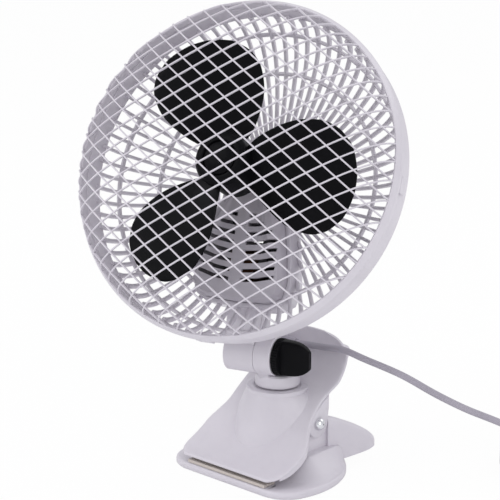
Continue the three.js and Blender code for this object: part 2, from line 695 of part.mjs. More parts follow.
/** The diamond lattice of the front guard: two families of straight strands in the plan. */
function diamondPlan(limit) {
  const directions = [radians(MESH_ANGLES[0]), radians(MESH_ANGLES[1])];
  const spread = Math.abs(Math.sin(directions[0] - directions[1]));
  const step = MESH_PITCH / spread;
  const [u, v] = directions.map((a) => [Math.cos(a) * step, Math.sin(a) * step]);
  const nodes = [];
  const links = [];
  const number = new Map();
  const at = (i, k) => [i * u[0] + k * v[0], i * u[1] + k * v[1]];
  const inside = ([x, z]) => Math.hypot(x, z) < limit;
  const node = (i, k) => {
    const key = i + "," + k;
    if (!number.has(key)) {
      number.set(key, nodes.length);
      nodes.push(at(i, k));
    }
    return number.get(key);
  };
  const reach = Math.ceil((2 * limit) / MESH_PITCH);
  const crossing = (p, q) => {
    const [dx, dz] = [q[0] - p[0], q[1] - p[1]];
    const a = dx * dx + dz * dz;
    const b = p[0] * dx + p[1] * dz;
    const c = p[0] ** 2 + p[1] ** 2 - limit ** 2;
    const t = (-b + Math.sqrt(b * b - a * c)) / a;
    return [p[0] + t * dx, p[1] + t * dz];
  };
  for (let i = -reach; i <= reach; i++)
    for (let k = -reach; k <= reach; k++)
      [[1, 0], [0, 1], [-1, 0], [0, -1]].forEach(([di, dk]) => {
        const [p, q] = [at(i, k), at(i + di, k + dk)];
        if (!inside(p)) return;
        if (!inside(q)) {
          const from = node(i, k);
          nodes.push(crossing(p, q));
          links.push([from, nodes.length - 1]);
        } else if (di + dk > 0) links.push([node(i, k), node(i + di, k + dk)]);
      });
  return { nodes, links };
}

function frontGuard() {
  const inner = RIM_RADIUS - RIM_WIDTH;
  const rim = turned(
    [
      [inner, RIM_BACK],
      [inner, RIM_FRONT],
      [inner + 1.4, RIM_FRONT - 0.6],
      [RIM_RADIUS - 0.8, -1.2],
      [RIM_RADIUS, 0.6],
      [RIM_RADIUS, RIM_BACK],
    ],
    48,
  );
  const { nodes, links } = diamondPlan(inner + RIM_BITE);
  return joined(rim, net(nodes, links, MESH_WIDTH, MESH_THICKNESS, domeDepth));
}

const bowlDepth = (r) => {
  const t = Math.min(r / (BAND_RADIUS - BAND_WALL / 2), 1);
  return mix(BAND_BACK - 2, BOWL_DEPTH, Math.sqrt(1 - t ** 3.2));
};

/** Outline of the motor pod seen along the fan's axis, moved inwards by an inset. */
const POD_HALF = [
  [0, 16], [9, 13.2], [14.6, 6], [15.4, -4], [16, -13], [20.6, -25.5], [24.4, -40], [27.3, -54],
  [25.8, -62.4],
  [19, -66.4], [0, -67.4],
];
const POD_MIDDLE = -27;
const POD_REACH = 26; // from the middle to the pod's side
function podOutline(inset) {
  const plan = [...POD_HALF, ...POD_HALF.slice(1, -1).map(([x, z]) => [-x, z]).reverse()];
  const n = plan.length;
  const offset = Math.min(inset, POD_WALL);
  const scale = 1 - (inset - offset) / POD_REACH;
  return plan.map((p, i) => {
    const [a, b] = [plan[(i + n - 1) % n], plan[(i + 1) % n]];
    const [tx, tz] = [b[0] - a[0], b[1] - a[1]];
    const length = Math.hypot(tx, tz);
    const [x, z] = [p[0] + (offset * tz) / length, p[1] - (offset * tx) / length];
    return [x * scale, POD_MIDDLE + (z - POD_MIDDLE) * scale];
  });
}

function rearGrille() {
  const outer = BAND_RADIUS - BAND_WALL / 2;
  const radii = [outer, BOWL_RING, BOWL_CENTRE];
  const nodes = [];
  const links = [];
  const id = (ring, bar) => ring * BARS + ((bar + BARS) % BARS);
  radii.forEach((r) =>
    range(BARS).forEach((bar) => {
      const a = (2 * Math.PI * bar) / BARS;
      nodes.push([r * Math.cos(a), r * Math.sin(a)]);
    }),
  );
  radii.slice(1).forEach((_, ring) =>
    range(BARS).forEach((bar) => links.push([id(ring, bar), id(ring + 1, bar)])),
  );
  [1, 2].forEach((ring) => range(BARS).forEach((bar) => links.push([id(ring, bar), id(ring, bar + 1)])));
  const bars = net(nodes, links, BAR_WIDTH, BAR_THICKNESS, bowlDepth);
  const band = turned(
    [
      [BAND_RADIUS, RIM_BACK + CLEARANCE],
      [BAND_RADIUS, BAND_BACK],
      [BAND_RADIUS - BAND_WALL, BAND_BACK],
      [BAND_RADIUS - BAND_WALL, RIM_BACK + CLEARANCE],
    ],
    48,
  );
  const frame = prism(podOutline(-COLLAR_WALL - CLEARANCE), "y", COVER_SPLIT - 7, BOWL_DEPTH + 3);
  const room = prism(podOutline(-CLEARANCE), "y", -20, 90);
  const side = NECK_HALF_WIDTH + CLEARANCE;
  const neck = box(-side, side, NECK_SIDE[0][0] - CLEARANCE, 90, -120, NECK_SIDE[0][1]);
  return cut(joined(bars, band, frame), room, neck);
}

/** Front face of the motor cover at a height. */
const coverFace = (z) => COVER_FRONT + COVER_LEAN * Math.max(SLOT_TOP - z, 0);

function coverSkin(inset, back) {
  const ring = (extra, behind) =>
    podOutline(inset + extra).map(([x, z]) => vec(x, coverFace(z) + inset + behind, z));
  const rings = [ring(6.5, 0), ring(1.8, 1.4), ring(0, 5)];
  rings.push(podOutline(inset).map(([x, z]) => vec(x, back, z)));
  return lofted(rings);
}

function slotCutters() {
  return range(SLOTS).flatMap((row) => {
    const z = SLOT_TOP - row * SLOT_PITCH;
    const end = Math.min(7.6 + row * 5.6, 21.5 + 0.25 * row);
    const bow = (x) => z + SLOT_SMILE * x * x;
    const xs = range(3).map((i) => mix(3.6, end, i / 2));
    const upper = xs.map((x) => [x, bow(x) + SLOT_HEIGHT / 2]);
    const lower = xs.map((x) => [x, bow(x) - SLOT_HEIGHT / 2]).reverse();
    const outline = [...upper, ...lower].reverse();
    const other = outline.map(([x, y]) => [-x, y]).reverse();
    return [outline, other].map((o) => prism(o, "y", COVER_FRONT - 6, COVER_SPLIT - 6));
  });
}

function motorCover() {
  const outer = coverSkin(0, COVER_SPLIT);
  const inner = coverSkin(POD_WALL, COVER_SPLIT + 1);
  const nose = rod("y", 7, COVER_FRONT - 8, COVER_FRONT + 2, 0, 0, 24);
  const bore = rod("y", SHAFT_RADIUS + RUNNING_GAP, 0, COVER_SPLIT, 0, 0, 16);
  return cut(joined(cut(outer, inner), nose), bore, slotCutters());
}

const NECK_TOP = -60;
const NECK_WAIST = -HEAD_DROP + 19.6;
const NECK_SIDE = [
  [43, NECK_TOP], [60, NECK_TOP], [POD_BACK + 2.6, NECK_WAIST],
  [HEAD_BACK + BARREL_RADIUS - 0.4, -HEAD_DROP + 2],
  [HEAD_BACK - BARREL_RADIUS + 0.4, -HEAD_DROP + 2], [44.6, Math.min(NECK_WAIST - 4, NECK_TOP - 6)],
];
const NECK_ROOM = [
  [45.4, NECK_TOP + 1], [57.6, NECK_TOP + 1], [POD_BACK - 0.6, NECK_WAIST],
  [POD_BACK + 2.4, NECK_WAIST - 4], [50, NECK_WAIST - 4], [46.8, NECK_WAIST - 2],
];
const NECK_SPLIT = 52;
const BOSS_X = 10.2;
const BOSS_Z = -46;
const STATOR_CENTRE = 43;

const neckRoom = () => prism(NECK_ROOM, "x", -NECK_HALF_WIDTH + 2.2, NECK_HALF_WIDTH - 2.2);

function motorCase() {
  const from = COVER_SPLIT + CLEARANCE;
  const ring = (inset, y) => podOutline(inset).map(([x, z]) => vec(x, y, z));
  const outer = lofted([
    ring(0, from),
    ring(0, POD_BACK - 8),
    ring(1.6, POD_BACK - 3.6),
    ring(4.4, POD_BACK - 0.9),
    ring(8, POD_BACK),
  ]);
  const w = POD_WALL;
  const inner = lofted([
    ring(w, from - 1),
    ring(w, POD_BACK - 8.6),
    ring(w + 1.6, POD_BACK - 4.6),
    ring(w + 4.4, POD_BACK - w - 0.9),
    ring(w + 6.6, POD_BACK - w),
  ]);
  const neck = prism(NECK_SIDE, "x", -NECK_HALF_WIDTH, NECK_HALF_WIDTH);
  const behind = box(-20, 20, NECK_SPLIT, 90, -120, -50);
  const barrel = rod("x", BARREL_RADIUS, -NECK_HALF_WIDTH, NECK_HALF_WIDTH, HEAD_BACK, -HEAD_DROP);
  const shell = cut(joined(outer, neck.intersect(behind), barrel), inner, neckRoom());
  const bosses = onSides((s) =>
    rod("y", 2, STATOR_CENTRE + STATOR_DEPTH / 2 + CLEARANCE, POD_BACK - 1, s * BOSS_X, BOSS_Z, 12),
  );
  const vents = range(5).map((i) => {
    const z = -14 - i * 7;
    return box(-9, 9, POD_BACK - 3, POD_BACK + 2, z - 1, z + 1);
  });
  const bore = rod("x", BOLT_RADIUS + CLEARANCE, -40, 40, HEAD_BACK, -HEAD_DROP, 16);
  const recess = rod("x", 5, -NECK_HALF_WIDTH - 1, -NECK_HALF_WIDTH + 5, HEAD_BACK, -HEAD_DROP, 24);
  return cut(joined(shell, bosses), vents, bore, recess);
}

function neckCover() {
  const neck = prism(NECK_SIDE, "x", -NECK_HALF_WIDTH, NECK_HALF_WIDTH);
  const front = neck.intersect(box(-20, 20, 0, NECK_SPLIT - CLEARANCE, -120, -50));
  const pod = prism(podOutline(-CLEARANCE), "y", 20, 90);
  const barrel = rod("x", BARREL_RADIUS + CLEARANCE, -30, 30, HEAD_BACK, -HEAD_DROP);
  return cut(front, pod, barrel, neckRoom());
}

function statorCore() {
  const [y0, y1] = [STATOR_CENTRE - STATOR_DEPTH / 2, STATOR_CENTRE + STATOR_DEPTH / 2];
  const half = 12.4;
  const head = rod("y", half, y0, y1, 0, 0, 24);
  const frame = box(-half, half, y0, y1, -50, 0);
  const window = box(-8, 8, y0 - 1, y1 + 1, -42, -13);
  const bore = rod("y", ROTOR_CORE_RADIUS + RUNNING_GAP, y0 - 1, y1 + 1, 0, 0, 24);
  return cut(joined(head, frame), window, bore);
}

function statorCoil() {
  const reach = STATOR_DEPTH / 2;
  const outer = prism(
    [
      [STATOR_CENTRE - 11, -40], [STATOR_CENTRE - 8, -37],
      [STATOR_CENTRE + 8, -37], [STATOR_CENTRE + 11, -40],
      [STATOR_CENTRE + 11, -52], [STATOR_CENTRE + 8, -55],
      [STATOR_CENTRE - 8, -55], [STATOR_CENTRE - 11, -52],
    ],
    "x", -7.6, 7.6,
  );
  return cut(outer, box(-9, 9, STATOR_CENTRE - reach - CLEARANCE, STATOR_CENTRE + reach + CLEARANCE,
    -50 - CLEARANCE, -42 + CLEARANCE));
}

/** A bearing bracket across the stator: direction -1 in front, 1 behind. */
function bearing(direction) {
  const near = STATOR_CENTRE + direction * (STATOR_DEPTH / 2 + CLEARANCE);
  const far = near + direction * 6.5;
  const span = (a, b) => [Math.min(a, b), Math.max(a, b)];
  const posts = onSides((s) => rod("y", 1.7, ...span(near, far), s * BOSS_X, 0, 8));
  const bar = box(-BOSS_X - 1.7, BOSS_X + 1.7, ...span(far - direction * 1.6, far), -3.4, 3.4);
  const boss = rod("y", 4.2, ...span(far - direction * 2.6, far + direction * 1.6), 0, 0, 14);
  const bore = rod("y", SHAFT_RADIUS + CLEARANCE, 0, 90, 0, 0, 12);
  return cut(joined(bar, posts, boss), bore);
}

// ---------------------------------------------------------------- rotor
// Stations of a blade: radius, half-angle and pitch in degrees. The edge that leads as the fan
// turns is the one towards the front.
const BLADES = 3;
const BLADE_MIDDLE = -3; // y of a blade's middle line
const BLADE_STATIONS = [
  [HUB_RADIUS - 1, 36, 42], [20, 38, 40], [32, 37, 34], [43, 34.5, 28], [52, 30.5, 23.5], [60, 25.5, 20],
  [67, 18.4, 17], [70.6, 11, 15.5], [BLADE_TIP, 4, 15],
];

function blade(turn) {
  const rows = BLADE_STATIONS.map(([r, half, pitch]) =>
    range(6).map((k) => {
      const phi = radians(mix(-half, half, k / 5));
      const a = radians(turn) + phi;
      const y = BLADE_MIDDLE - Math.tan(radians(pitch)) * r * Math.sin(phi);
      return vec(r * Math.cos(a), y, r * Math.sin(a));
    }),
  );
  return sheet(rows, BLADE_THICKNESS, BLADE_THICKNESS / 2);
}

function fanRotor() {
  const hub = turned(
    [
      [SHAFT_RADIUS + CLEARANCE, HUB_FRONT + 3],
      [CAP_RADIUS + 0.6, HUB_FRONT + 3],
      [CAP_RADIUS + 0.6, HUB_FRONT + 0.4],
      [HUB_RADIUS - 2.2, HUB_FRONT + 1],
      [HUB_RADIUS, HUB_FRONT + 4],
      [HUB_RADIUS, HUB_BACK],
      [HUB_RADIUS - 2, HUB_BACK],
      [HUB_RADIUS - 2, HUB_FRONT + 5.2],
      [5, HUB_FRONT + 5.2],
      [5, HUB_BACK - 3],
      [SHAFT_RADIUS + CLEARANCE, HUB_BACK - 3],
    ],
    24,
  );
  const blades = range(BLADES).map((i) => blade(BLADE_ANGLE + (360 / BLADES) * i));
  const cup = rod("y", HUB_RADIUS - 2, HUB_FRONT + 5.2, HUB_BACK + 20, 0, 0, 24);
  const core = rod("y", 5, HUB_FRONT + 4, HUB_BACK - 3, 0, 0, 24);
  return joined(hub, cut(joined(blades), cut(cup, core), rod("y", 3, -40, 40, 0, 0, 20)));
}

const hubCap = () =>
  turned(
    [
      [0, HUB_FRONT + 3 - CLEARANCE],
      [0, HUB_FRONT - 0.6],
      [CAP_RADIUS - 3, HUB_FRONT - 0.4],
      [CAP_RADIUS - 0.6, HUB_FRONT + 0.4],
      [CAP_RADIUS, HUB_FRONT + 1.4],
      [CAP_RADIUS, HUB_FRONT + 3 - CLEARANCE],
    ],
    20,
  );

function rotorCore() {
  const half = STATOR_DEPTH / 2 - 0.5;
  return cut(
    rod("y", ROTOR_CORE_RADIUS, STATOR_CENTRE - half, STATOR_CENTRE + half, 0, 0, 24),
    rod("y", SHAFT_RADIUS + CLEARANCE, 0, 90, 0, 0, 16),
  );
}

/** A clip over the rim's band at an angle round the guard. */
function rimClip(turn) {
  const clip = box(BAND_RADIUS + CLEARANCE, RIM_RADIUS, RIM_BACK + CLEARANCE, RIM_BACK + 6.4, -4.5, 4.5);
  return moved(clip, new THREE.Matrix4().makeRotationY(radians(turn)));
}

// ---------------------------------------------------------------- power cord
// Middle line of the free stretch, from the sleeve at the outlet to the coil on the table.
const ROUTE = [
  [OUTLET[0] + RELIEF_LENGTH + CLEARANCE, OUTLET[1], OUTLET[2]], [7, 38.4, 67], [19, 37.2, 68.4],
  [33, 35.6, 70.4],
  [50, 35, 68.6], [73, 39.5, 63.2], [90, 49, 53.5], [102, 58, 46.4], [114, 68, 40.2], [126, 80, 32.6],
  [136, 92, 24], [143.4, 102.6, 18],
  ...[6, 0].map((back) => [COIL_X + COIL_INNER + COIL_STEP * COIL_TURNS, COIL_Y - CLEARANCE - back,
    CORD * 0.4 + COIL_LAYER * (COIL_LAYERS - 1)]),
];

// The cord's end past the coil: how far along, and how far above the lowest layer.
const TAIL = [[4, 0.1], [9, 1.3], [14, 3.4], [19, 5], [22, 5.1]];
const TAIL_TURN = (2 * Math.PI * COIL_EXTRA) / 24; // its heading, from +Y towards -X

function tailPoint(along) {
  const outer = COIL_INNER + COIL_STEP * COIL_TURNS;
  const [c, s] = [Math.cos(TAIL_TURN), Math.sin(TAIL_TURN)];
  return [COIL_X + outer * c - along * s, COIL_Y + outer * s + along * c];
}

function coilPath() {
  const steps = 24;
  const outer = COIL_INNER + COIL_STEP * COIL_TURNS;
  const bottom = CORD / 2 - CORD * 0.1;
  const points = [];
  let angle = 0;
  const add = (radius, z) =>
    points.push(vec(COIL_X + radius * Math.cos(angle), COIL_Y + radius * Math.sin(angle), z));
  range(COIL_LAYERS).forEach((layer) => {
    const height = bottom + COIL_LAYER * (COIL_LAYERS - 1 - layer);
    const inwards = layer % 2 === 0;
    const count = COIL_TURNS * steps + (layer + 1 < COIL_LAYERS ? 0 : COIL_EXTRA);
    range(count + 1).forEach((i) => {
      if (i > 0) angle += (2 * Math.PI) / steps;
      const t = i / count;
      const radius = inwards ? mix(outer, COIL_INNER, t) : mix(COIL_INNER, outer, t);
      if (i > 0 || layer === 0) add(radius, height);
    });
    if (layer + 1 < COIL_LAYERS)
      range(steps / 2).forEach((i) => {
        angle += (2 * Math.PI) / steps;
        add(inwards ? COIL_INNER : outer, height - (COIL_LAYER * (i + 1)) / (steps / 2));
      });
  });
  const last = TAIL.at(-1);
  const tail = [...TAIL, [last[0] + CORD, last[1]]];
  return [...points, ...tail.map(([along, z]) => vec(...tailPoint(along), bottom + z))];
}

/** Least gap of a round cord to itself, on points 1 mm apart, more than half a loop apart along it. */
function leastGap(points, diameter, loop) {
  const line = new THREE.CatmullRomCurve3(points, false, "centripetal");
  line.arcLengthDivisions = points.length * 8;
  const spots = line.getSpacedPoints(Math.round(line.getLength()));
  const apart = Math.round(loop / 2);
  const nearest = spots.map((spot, i) =>
    Math.min(...spots.slice(i + apart).map((other) => spot.distanceTo(other))),
  );
  return Math.min(...nearest) - diameter;
}

function reliefSleeve() {
  const ring = (x, r) => circle(r, OUTLET[1], OUTLET[2], 16).map(([y, z]) => vec(x, y, z));
  const [x0, x1] = [OUTLET[0], OUTLET[0] + RELIEF_LENGTH];
  return lofted([
    ring(x0 - 4, RELIEF_SPIGOT),
    ring(x0 - 0.01, RELIEF_SPIGOT),
    ring(x0, 3.9),
    ring(x0 + 2, 3.9),
    ring(x1, 2.5),
  ]);
}

// The plug's own frame: origin at the cord's end, +Y out along the pins.
function plugBody() {
  const ring = (at, halfX, halfZ) =>
    range(16).map((i) => {
      const a = (2 * Math.PI * i) / 16;
      const [c, s] = [Math.cos(a), Math.sin(a)];
      const round = (v) => Math.sign(v) * Math.abs(v) ** 0.6;
      return vec(halfX * round(c), CLEARANCE + at, halfZ * round(s));
    });
  return lofted([
    ring(0, 2.9, 2.9),
    ring(9, 3.6, 3.4),
    ring(14, 6.2, 5.2),
    ring(20, 7.6, 6.2),
    ring(PLUG_LENGTH - 2, 8, 6.4),
    ring(PLUG_LENGTH, 7.4, 5.8),
  ]);
}

function plugPins(side) {
  const start = PLUG_LENGTH + 2 * CLEARANCE;
  return rod("y", PLUG_PIN_RADIUS, start, start + PLUG_PIN_LENGTH, (side * PLUG_PIN_SPACING) / 2, 0, 16);
}

// ---------------------------------------------------------------- assembly
function bodyGroup(name, parent, position, turn = {}) {
  const made = new THREE.Group();
  made.name = name;
  made.position.set(...position);
  made.rotation.set(turn.x ?? 0, turn.y ?? 0, turn.z ?? 0);
  parent.add(made);
  return made;
}

const group = new THREE.Group();
group.name = "clip_fan";

const foot = bodyGroup("foot", group, [0, 0, 0]);
const padBack = LIP_FRONT + 1 + PAD_DEPTH;
foot.add(
  piece("lower_jaw", lowerJaw(), WHITE),
  piece("lower_pad", padStrip(LIP_FRONT + 1, padBack, LIP_HALF_WIDTH - 2, FOOT_THICKNESS + CLEARANCE,
    FOOT_THICKNESS + CLEARANCE + PAD_THICKNESS, 4), RUBBER),
  piece("clamp_pin", clampPin(), STEEL),
  piece("torsion_spring", torsionSpring(), STEEL),
);

const jaw = bodyGroup("jaw", group, [0, 0, 0]);
jaw.add(
  piece("upper_jaw", upperJaw(), WHITE),
  piece("upper_pad", upperPad(), RUBBER),
  piece("strain_relief", reliefSleeve(), CORD_GREY),
);
const lobe = bodyGroup("lobe_back", jaw, [0, LOBE_Y, LOBE_Z], { x: LOBE_LEAN });
lobe.add(piece("rear_cover", rearCover(), WHITE), piece("switch_body", switchBody(), BLACK));
lobe.add(piece("switch_knob", switchKnob(), BLACK));

const turret = bodyGroup("turret_frame", jaw, [0, TURRET_Y, 0], { z: radians(PAN) });
turret.add(
  piece("turret", turretBody(), WHITE),
  piece("swivel_washer", swivelWasher(), STEEL),
  piece("swivel_screw", swivelScrew(), STEEL),
  piece("tilt_bolt", tiltBolt(), STEEL),
  piece("tilt_knob", tiltKnob(), BLACK),
);

const tilt = bodyGroup("tilt_frame", turret, [0, -PIVOT_FORWARD, PIVOT_Z], { x: -radians(TILT) });
const head = bodyGroup("head", tilt, [-NECK_OFFSET, -HEAD_BACK, HEAD_DROP]);
head.add(
  piece("front_guard", frontGuard(), WHITE),
  piece("rear_grille", rearGrille(), WHITE),
  piece("motor_cover", motorCover(), WHITE),
  piece("motor_case", motorCase(), WHITE),
  piece("neck_cover", neckCover(), WHITE),
  piece("stator_core", statorCore(), CORE),
  piece("stator_coil", statorCoil(), COPPER),
  piece("front_bearing", bearing(-1), STEEL),
  piece("rear_bearing", bearing(1), STEEL),
);
range(4).forEach((i) => head.add(piece("rim_clip_" + (i + 1), rimClip(i * 90), WHITE)));

const rotor = bodyGroup("rotor", head, [0, 0, 0]);
rotor.add(
  piece("fan_rotor", fanRotor(), BLACK),
  piece("hub_cap", hubCap(), BLACK),
  piece("motor_shaft", rod("y", SHAFT_RADIUS, HUB_FRONT + 4, POD_BACK - 3.4, 0, 0, 16), STEEL),
  piece("rotor_core", rotorCore(), CORE),
);

const stretch = tube(ROUTE.map((p) => vec(...p)), CORD, 26, 8);
const leadSide = (end) => box(OUTLET[0], end, -COIL_Y, COIL_Y, 0, HEAD_DROP);
jaw.add(piece("cord_lead", stretch.intersect(leadSide(LEAD_END)), CORD_GREY));
const cord = bodyGroup("cord", group, [0, 0, 0]);
cord.add(
  piece("cord_run", cut(stretch, leadSide(LEAD_END + CLEARANCE)), CORD_GREY),
  piece("cord_coil", tube(coilPath(), CORD, 24 * 10 + 12, 6, true), CORD_GREY),
);
const plugFoot = [...tailPoint(TAIL.at(-1)[0] + CORD), CORD * 0.4 + TAIL.at(-1)[1]];
const plug = bodyGroup("plug", cord, plugFoot, { z: TAIL_TURN });
plug.add(
  piece("plug_body", plugBody(), CORD_GREY),
  piece("plug_pin_left", plugPins(-1), BRASS),
  piece("plug_pin_right", plugPins(1), BRASS),
);

const coilGap = leastGap(coilPath(), CORD, 2 * Math.PI * COIL_INNER);
console.log("cord_coil: least gap to itself " + coilGap.toFixed(2) + " mm");

export default group;
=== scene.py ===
"""Looks of a clip fan: a caged head on a tilting neck, over a spring clamp, with its power cord.

Every shape is a surface worked out in millimetres in its own frame and placed in the row's frame,
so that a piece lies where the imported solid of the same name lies.
"""

from __future__ import annotations

import enum
import logging
import math
from dataclasses import dataclass, field
from typing import Any, Sequence

import bmesh
import bpy
import numpy as np
from mathutils import Matrix, Vector


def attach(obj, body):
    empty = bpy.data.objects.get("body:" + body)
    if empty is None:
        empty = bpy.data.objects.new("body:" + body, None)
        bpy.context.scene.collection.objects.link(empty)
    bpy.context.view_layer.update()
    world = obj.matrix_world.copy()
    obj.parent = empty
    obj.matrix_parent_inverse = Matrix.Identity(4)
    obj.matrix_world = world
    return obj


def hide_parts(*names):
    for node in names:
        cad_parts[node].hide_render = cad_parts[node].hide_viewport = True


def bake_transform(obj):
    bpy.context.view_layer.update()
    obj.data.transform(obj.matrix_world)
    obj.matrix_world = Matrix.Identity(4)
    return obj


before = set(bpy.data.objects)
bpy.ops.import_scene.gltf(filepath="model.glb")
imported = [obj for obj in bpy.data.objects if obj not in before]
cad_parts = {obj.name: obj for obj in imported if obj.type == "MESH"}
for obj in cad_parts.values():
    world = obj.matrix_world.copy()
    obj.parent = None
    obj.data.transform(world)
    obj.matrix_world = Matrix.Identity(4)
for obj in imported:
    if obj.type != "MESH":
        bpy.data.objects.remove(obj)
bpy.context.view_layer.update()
log = logging.getLogger("clip_fan")
logging.basicConfig(level=logging.INFO, format="%(message)s")

Array = np.ndarray

MM = 0.001  # of a metre
CLEARANCE = 0.3  # between pieces that touch, in millimetres, as all lengths below
RIM_RADIUS = 95.0  # of the guard
PIN = (20.0, 30.0)  # y and z of the clamp's pin
TURRET_Y = 19.0


# ------------------------------------------------------------------------------ frames
def placed(points: Array, matrix: Array) -> Array:
    """Carries points (..., 3) in millimetres through a 4 by 4 matrix of the same unit.

    Args:
        points: the points.
        matrix: the frame's matrix.

    Returns:
        The moved points, still in millimetres.
    """
    return points @ matrix[:3, :3].T + matrix[:3, 3]


def turn(axis: str, degrees: float) -> Array:
    """The matrix of a turn about X or Z."""
    return np.array(Matrix.Rotation(math.radians(degrees), 4, axis))


def shift(x: float, y: float, z: float) -> Array:
    """The matrix of a shift.

    Args:
        x: how far along X.
        y: how far along Y.
        z: how far along Z.

    Returns:
        The 4 by 4 matrix.
    """
    made = np.eye(4)
    made[:3, 3] = (x, y, z)
    return made


@dataclass(frozen=True)
class Pose:
    """How the head stands on the clamp, in millimetres and degrees."""

    turret_y: float = TURRET_Y
    pan: float = 16.67
    tilt: float = 25.2
    pivot_forward: float = 9.0
    pivot_z: float = 66.3
    neck_offset: float = 15.4
    head_back: float = 58.9
    head_drop: float = 91.6

    def turret(self) -> Array:
        """The frame of the turret, on its own axis."""
        return shift(0, self.turret_y, 0) @ turn("Z", self.pan)

    def bolt(self) -> Array:
        """The frame of the tilt bolt, which runs along X."""
        return self.turret() @ shift(0, -self.pivot_forward, self.pivot_z)

    def head(self) -> Array:
        """The frame of the head: fan axis along Y, front towards -Y, origin in the rim's plane."""
        tilted = self.bolt() @ turn("X", -self.tilt)
        return tilted @ shift(-self.neck_offset, -self.head_back, self.head_drop)


# ------------------------------------------------------------------------------ curves and surfaces
def smooth_table(x: Array, xp: Sequence[float], fp: Array) -> Array:
    """Reads a table of stations along a smooth curve.

    The slope at each station is the mean of its neighbours' slopes, and between two stations the
    value is the cubic that has both values and both slopes.

    Args:
        x: where to read, any shape.
        xp: rising places of the stations.
        fp: values at the stations, (stations,) or (stations, columns).

    Returns:
        The values, with x's shape, and a last axis of columns where fp has one.
    """
    xp, fp, x = np.asarray(xp, float), np.asarray(fp, float), np.asarray(x, float)
    flat = fp.reshape(len(xp), -1)
    slope = np.gradient(flat, xp, axis=0)
    i = np.clip(np.searchsorted(xp, x, "right") - 1, 0, len(xp) - 2)
    h = xp[i + 1] - xp[i]
    t = np.clip((x - xp[i]) / h, 0, 1)[..., None]
    h = h[..., None]
    a, b = flat[i], flat[i + 1]
    value = (
        a * (2 * t**3 - 3 * t**2 + 1)
        + b * (3 * t**2 - 2 * t**3)
        + slope[i] * h * (t**3 - 2 * t**2 + t)
        + slope[i + 1] * h * (t**3 - t**2)
    )
    return value[..., 0] if fp.ndim == 1 else value.reshape(x.shape + fp.shape[1:])


def smooth_path(points: Sequence[Sequence[float]], count: int) -> Array:
    """An evenly stepped smooth line through points: each coordinate is a smooth table of the chord length.

    Args:
        points: the points passed through.
        count: number of points wanted.

    Returns:
        Points (count, 3), equally far apart along the line.
    """
    given = np.asarray(points, float)
    along = np.concatenate([[0], np.cumsum(np.linalg.norm(np.diff(given, axis=0), axis=1))])
    dense = smooth_table(np.linspace(0, along[-1], count * 8), along, given)
    run = np.concatenate([[0], np.cumsum(np.linalg.norm(np.diff(dense, axis=0), axis=1))])
    even = np.linspace(0, run[-1], count)
    return np.stack([np.interp(even, run, dense[:, k]) for k in range(3)], axis=1)


def unit(vectors: Array) -> Array:
    """Vectors scaled to length one."""
    return vectors / np.maximum(np.linalg.norm(vectors, axis=-1, keepdims=True), 1e-12)


def swept(path: Array, normal: Array, section: Array) -> Array:
    """Carries a closed section along paths.

    At each path point the section's first coordinate runs along the side, which is the tangent
    crossed with the normal, and its second along the normal made square to the tangent.

    Args:
        path: points (..., n, 3).
        normal: rough normals of the same shape.
        section: (m, 2) in millimetres, or (..., n, m, 2) where it changes along the path.

    Returns:
        Points (..., n, m, 3).
    """
    tangent = unit(np.gradient(path, axis=-2))
    side = unit(np.cross(tangent, normal))
    up = np.cross(side, tangent)
    s = np.broadcast_to(section, path.shape[:-1] + section.shape[-2:])
    return path[..., None, :] + s[..., :1] * side[..., None, :] + s[..., 1:] * up[..., None, :]


def ring(count: int, power: float = 1.0) -> Array:
    """A closed unit circle, its sine and cosine raised to a power.

    Args:
        count: number of points.
        power: 1 for a circle, less for one that is squared off.

    Returns:
        Points (count, 2).
    """
    a = np.arange(count) * 2 * np.pi / count
    c = np.stack([np.cos(a), np.sin(a)], axis=1)
    return np.sign(c) * np.abs(c) ** power


def rounded_profile(corners: Sequence[Sequence[float]], radius: float, steps: int = 5) -> Array:
    """A closed profile with its corners rounded by arcs, each the quadratic curve of its corner.

    Args:
        corners: the corners (n, 2), in order.
        radius: how far each curve starts before its corner, at most.
        steps: points on each curve.

    Returns:
        Points (n * steps, 2).
    """
    p = np.asarray(corners, float)
    before, after = np.roll(p, 1, axis=0) - p, np.roll(p, -1, axis=0) - p
    near = np.minimum(radius, 0.48 * np.linalg.norm(before, axis=1))[:, None]
    far = np.minimum(radius, 0.48 * np.linalg.norm(after, axis=1))[:, None]
    a, b = p + unit(before) * near, p + unit(after) * far
    t = np.linspace(0, 1, steps)[None, :, None]
    curve = a[:, None] * (1 - t) ** 2 + 2 * p[:, None] * t * (1 - t) + b[:, None] * t**2
    return curve.reshape(-1, 2)


def revolved(profile: Array, count: int) -> Array:
    """Turns a closed profile about Y: x and z are the radius times the angle's cosine and sine.

    Args:
        profile: (m, 2), the radius and y.
        count: steps round.

    Returns:
        Grid (count, m, 3), a loop for each step.
    """
    a = np.arange(count) * 2 * np.pi / count
    r, y = profile[:, 0], profile[:, 1]
    return np.stack(
        [np.outer(np.cos(a), r), np.broadcast_to(y, (count, len(y))), np.outer(np.sin(a), r)], axis=-1
    )


def lathed(profile: Array, count: int) -> Array:
    """Turns an open profile about Y: x and z are the radius times the angle's cosine and sine.

    Args:
        profile: (m, 2), the radius and y.
        count: steps round.

    Returns:
        Grid (m, count, 3), a loop for each point of the profile.
    """
    return revolved(profile, count).swapaxes(0, 1)


def across(width: Array, y: Array) -> Array:
    """A flat coordinate for each row of a grid, repeated to the grid's shape."""
    return np.broadcast_to(y[:, None], width.shape)


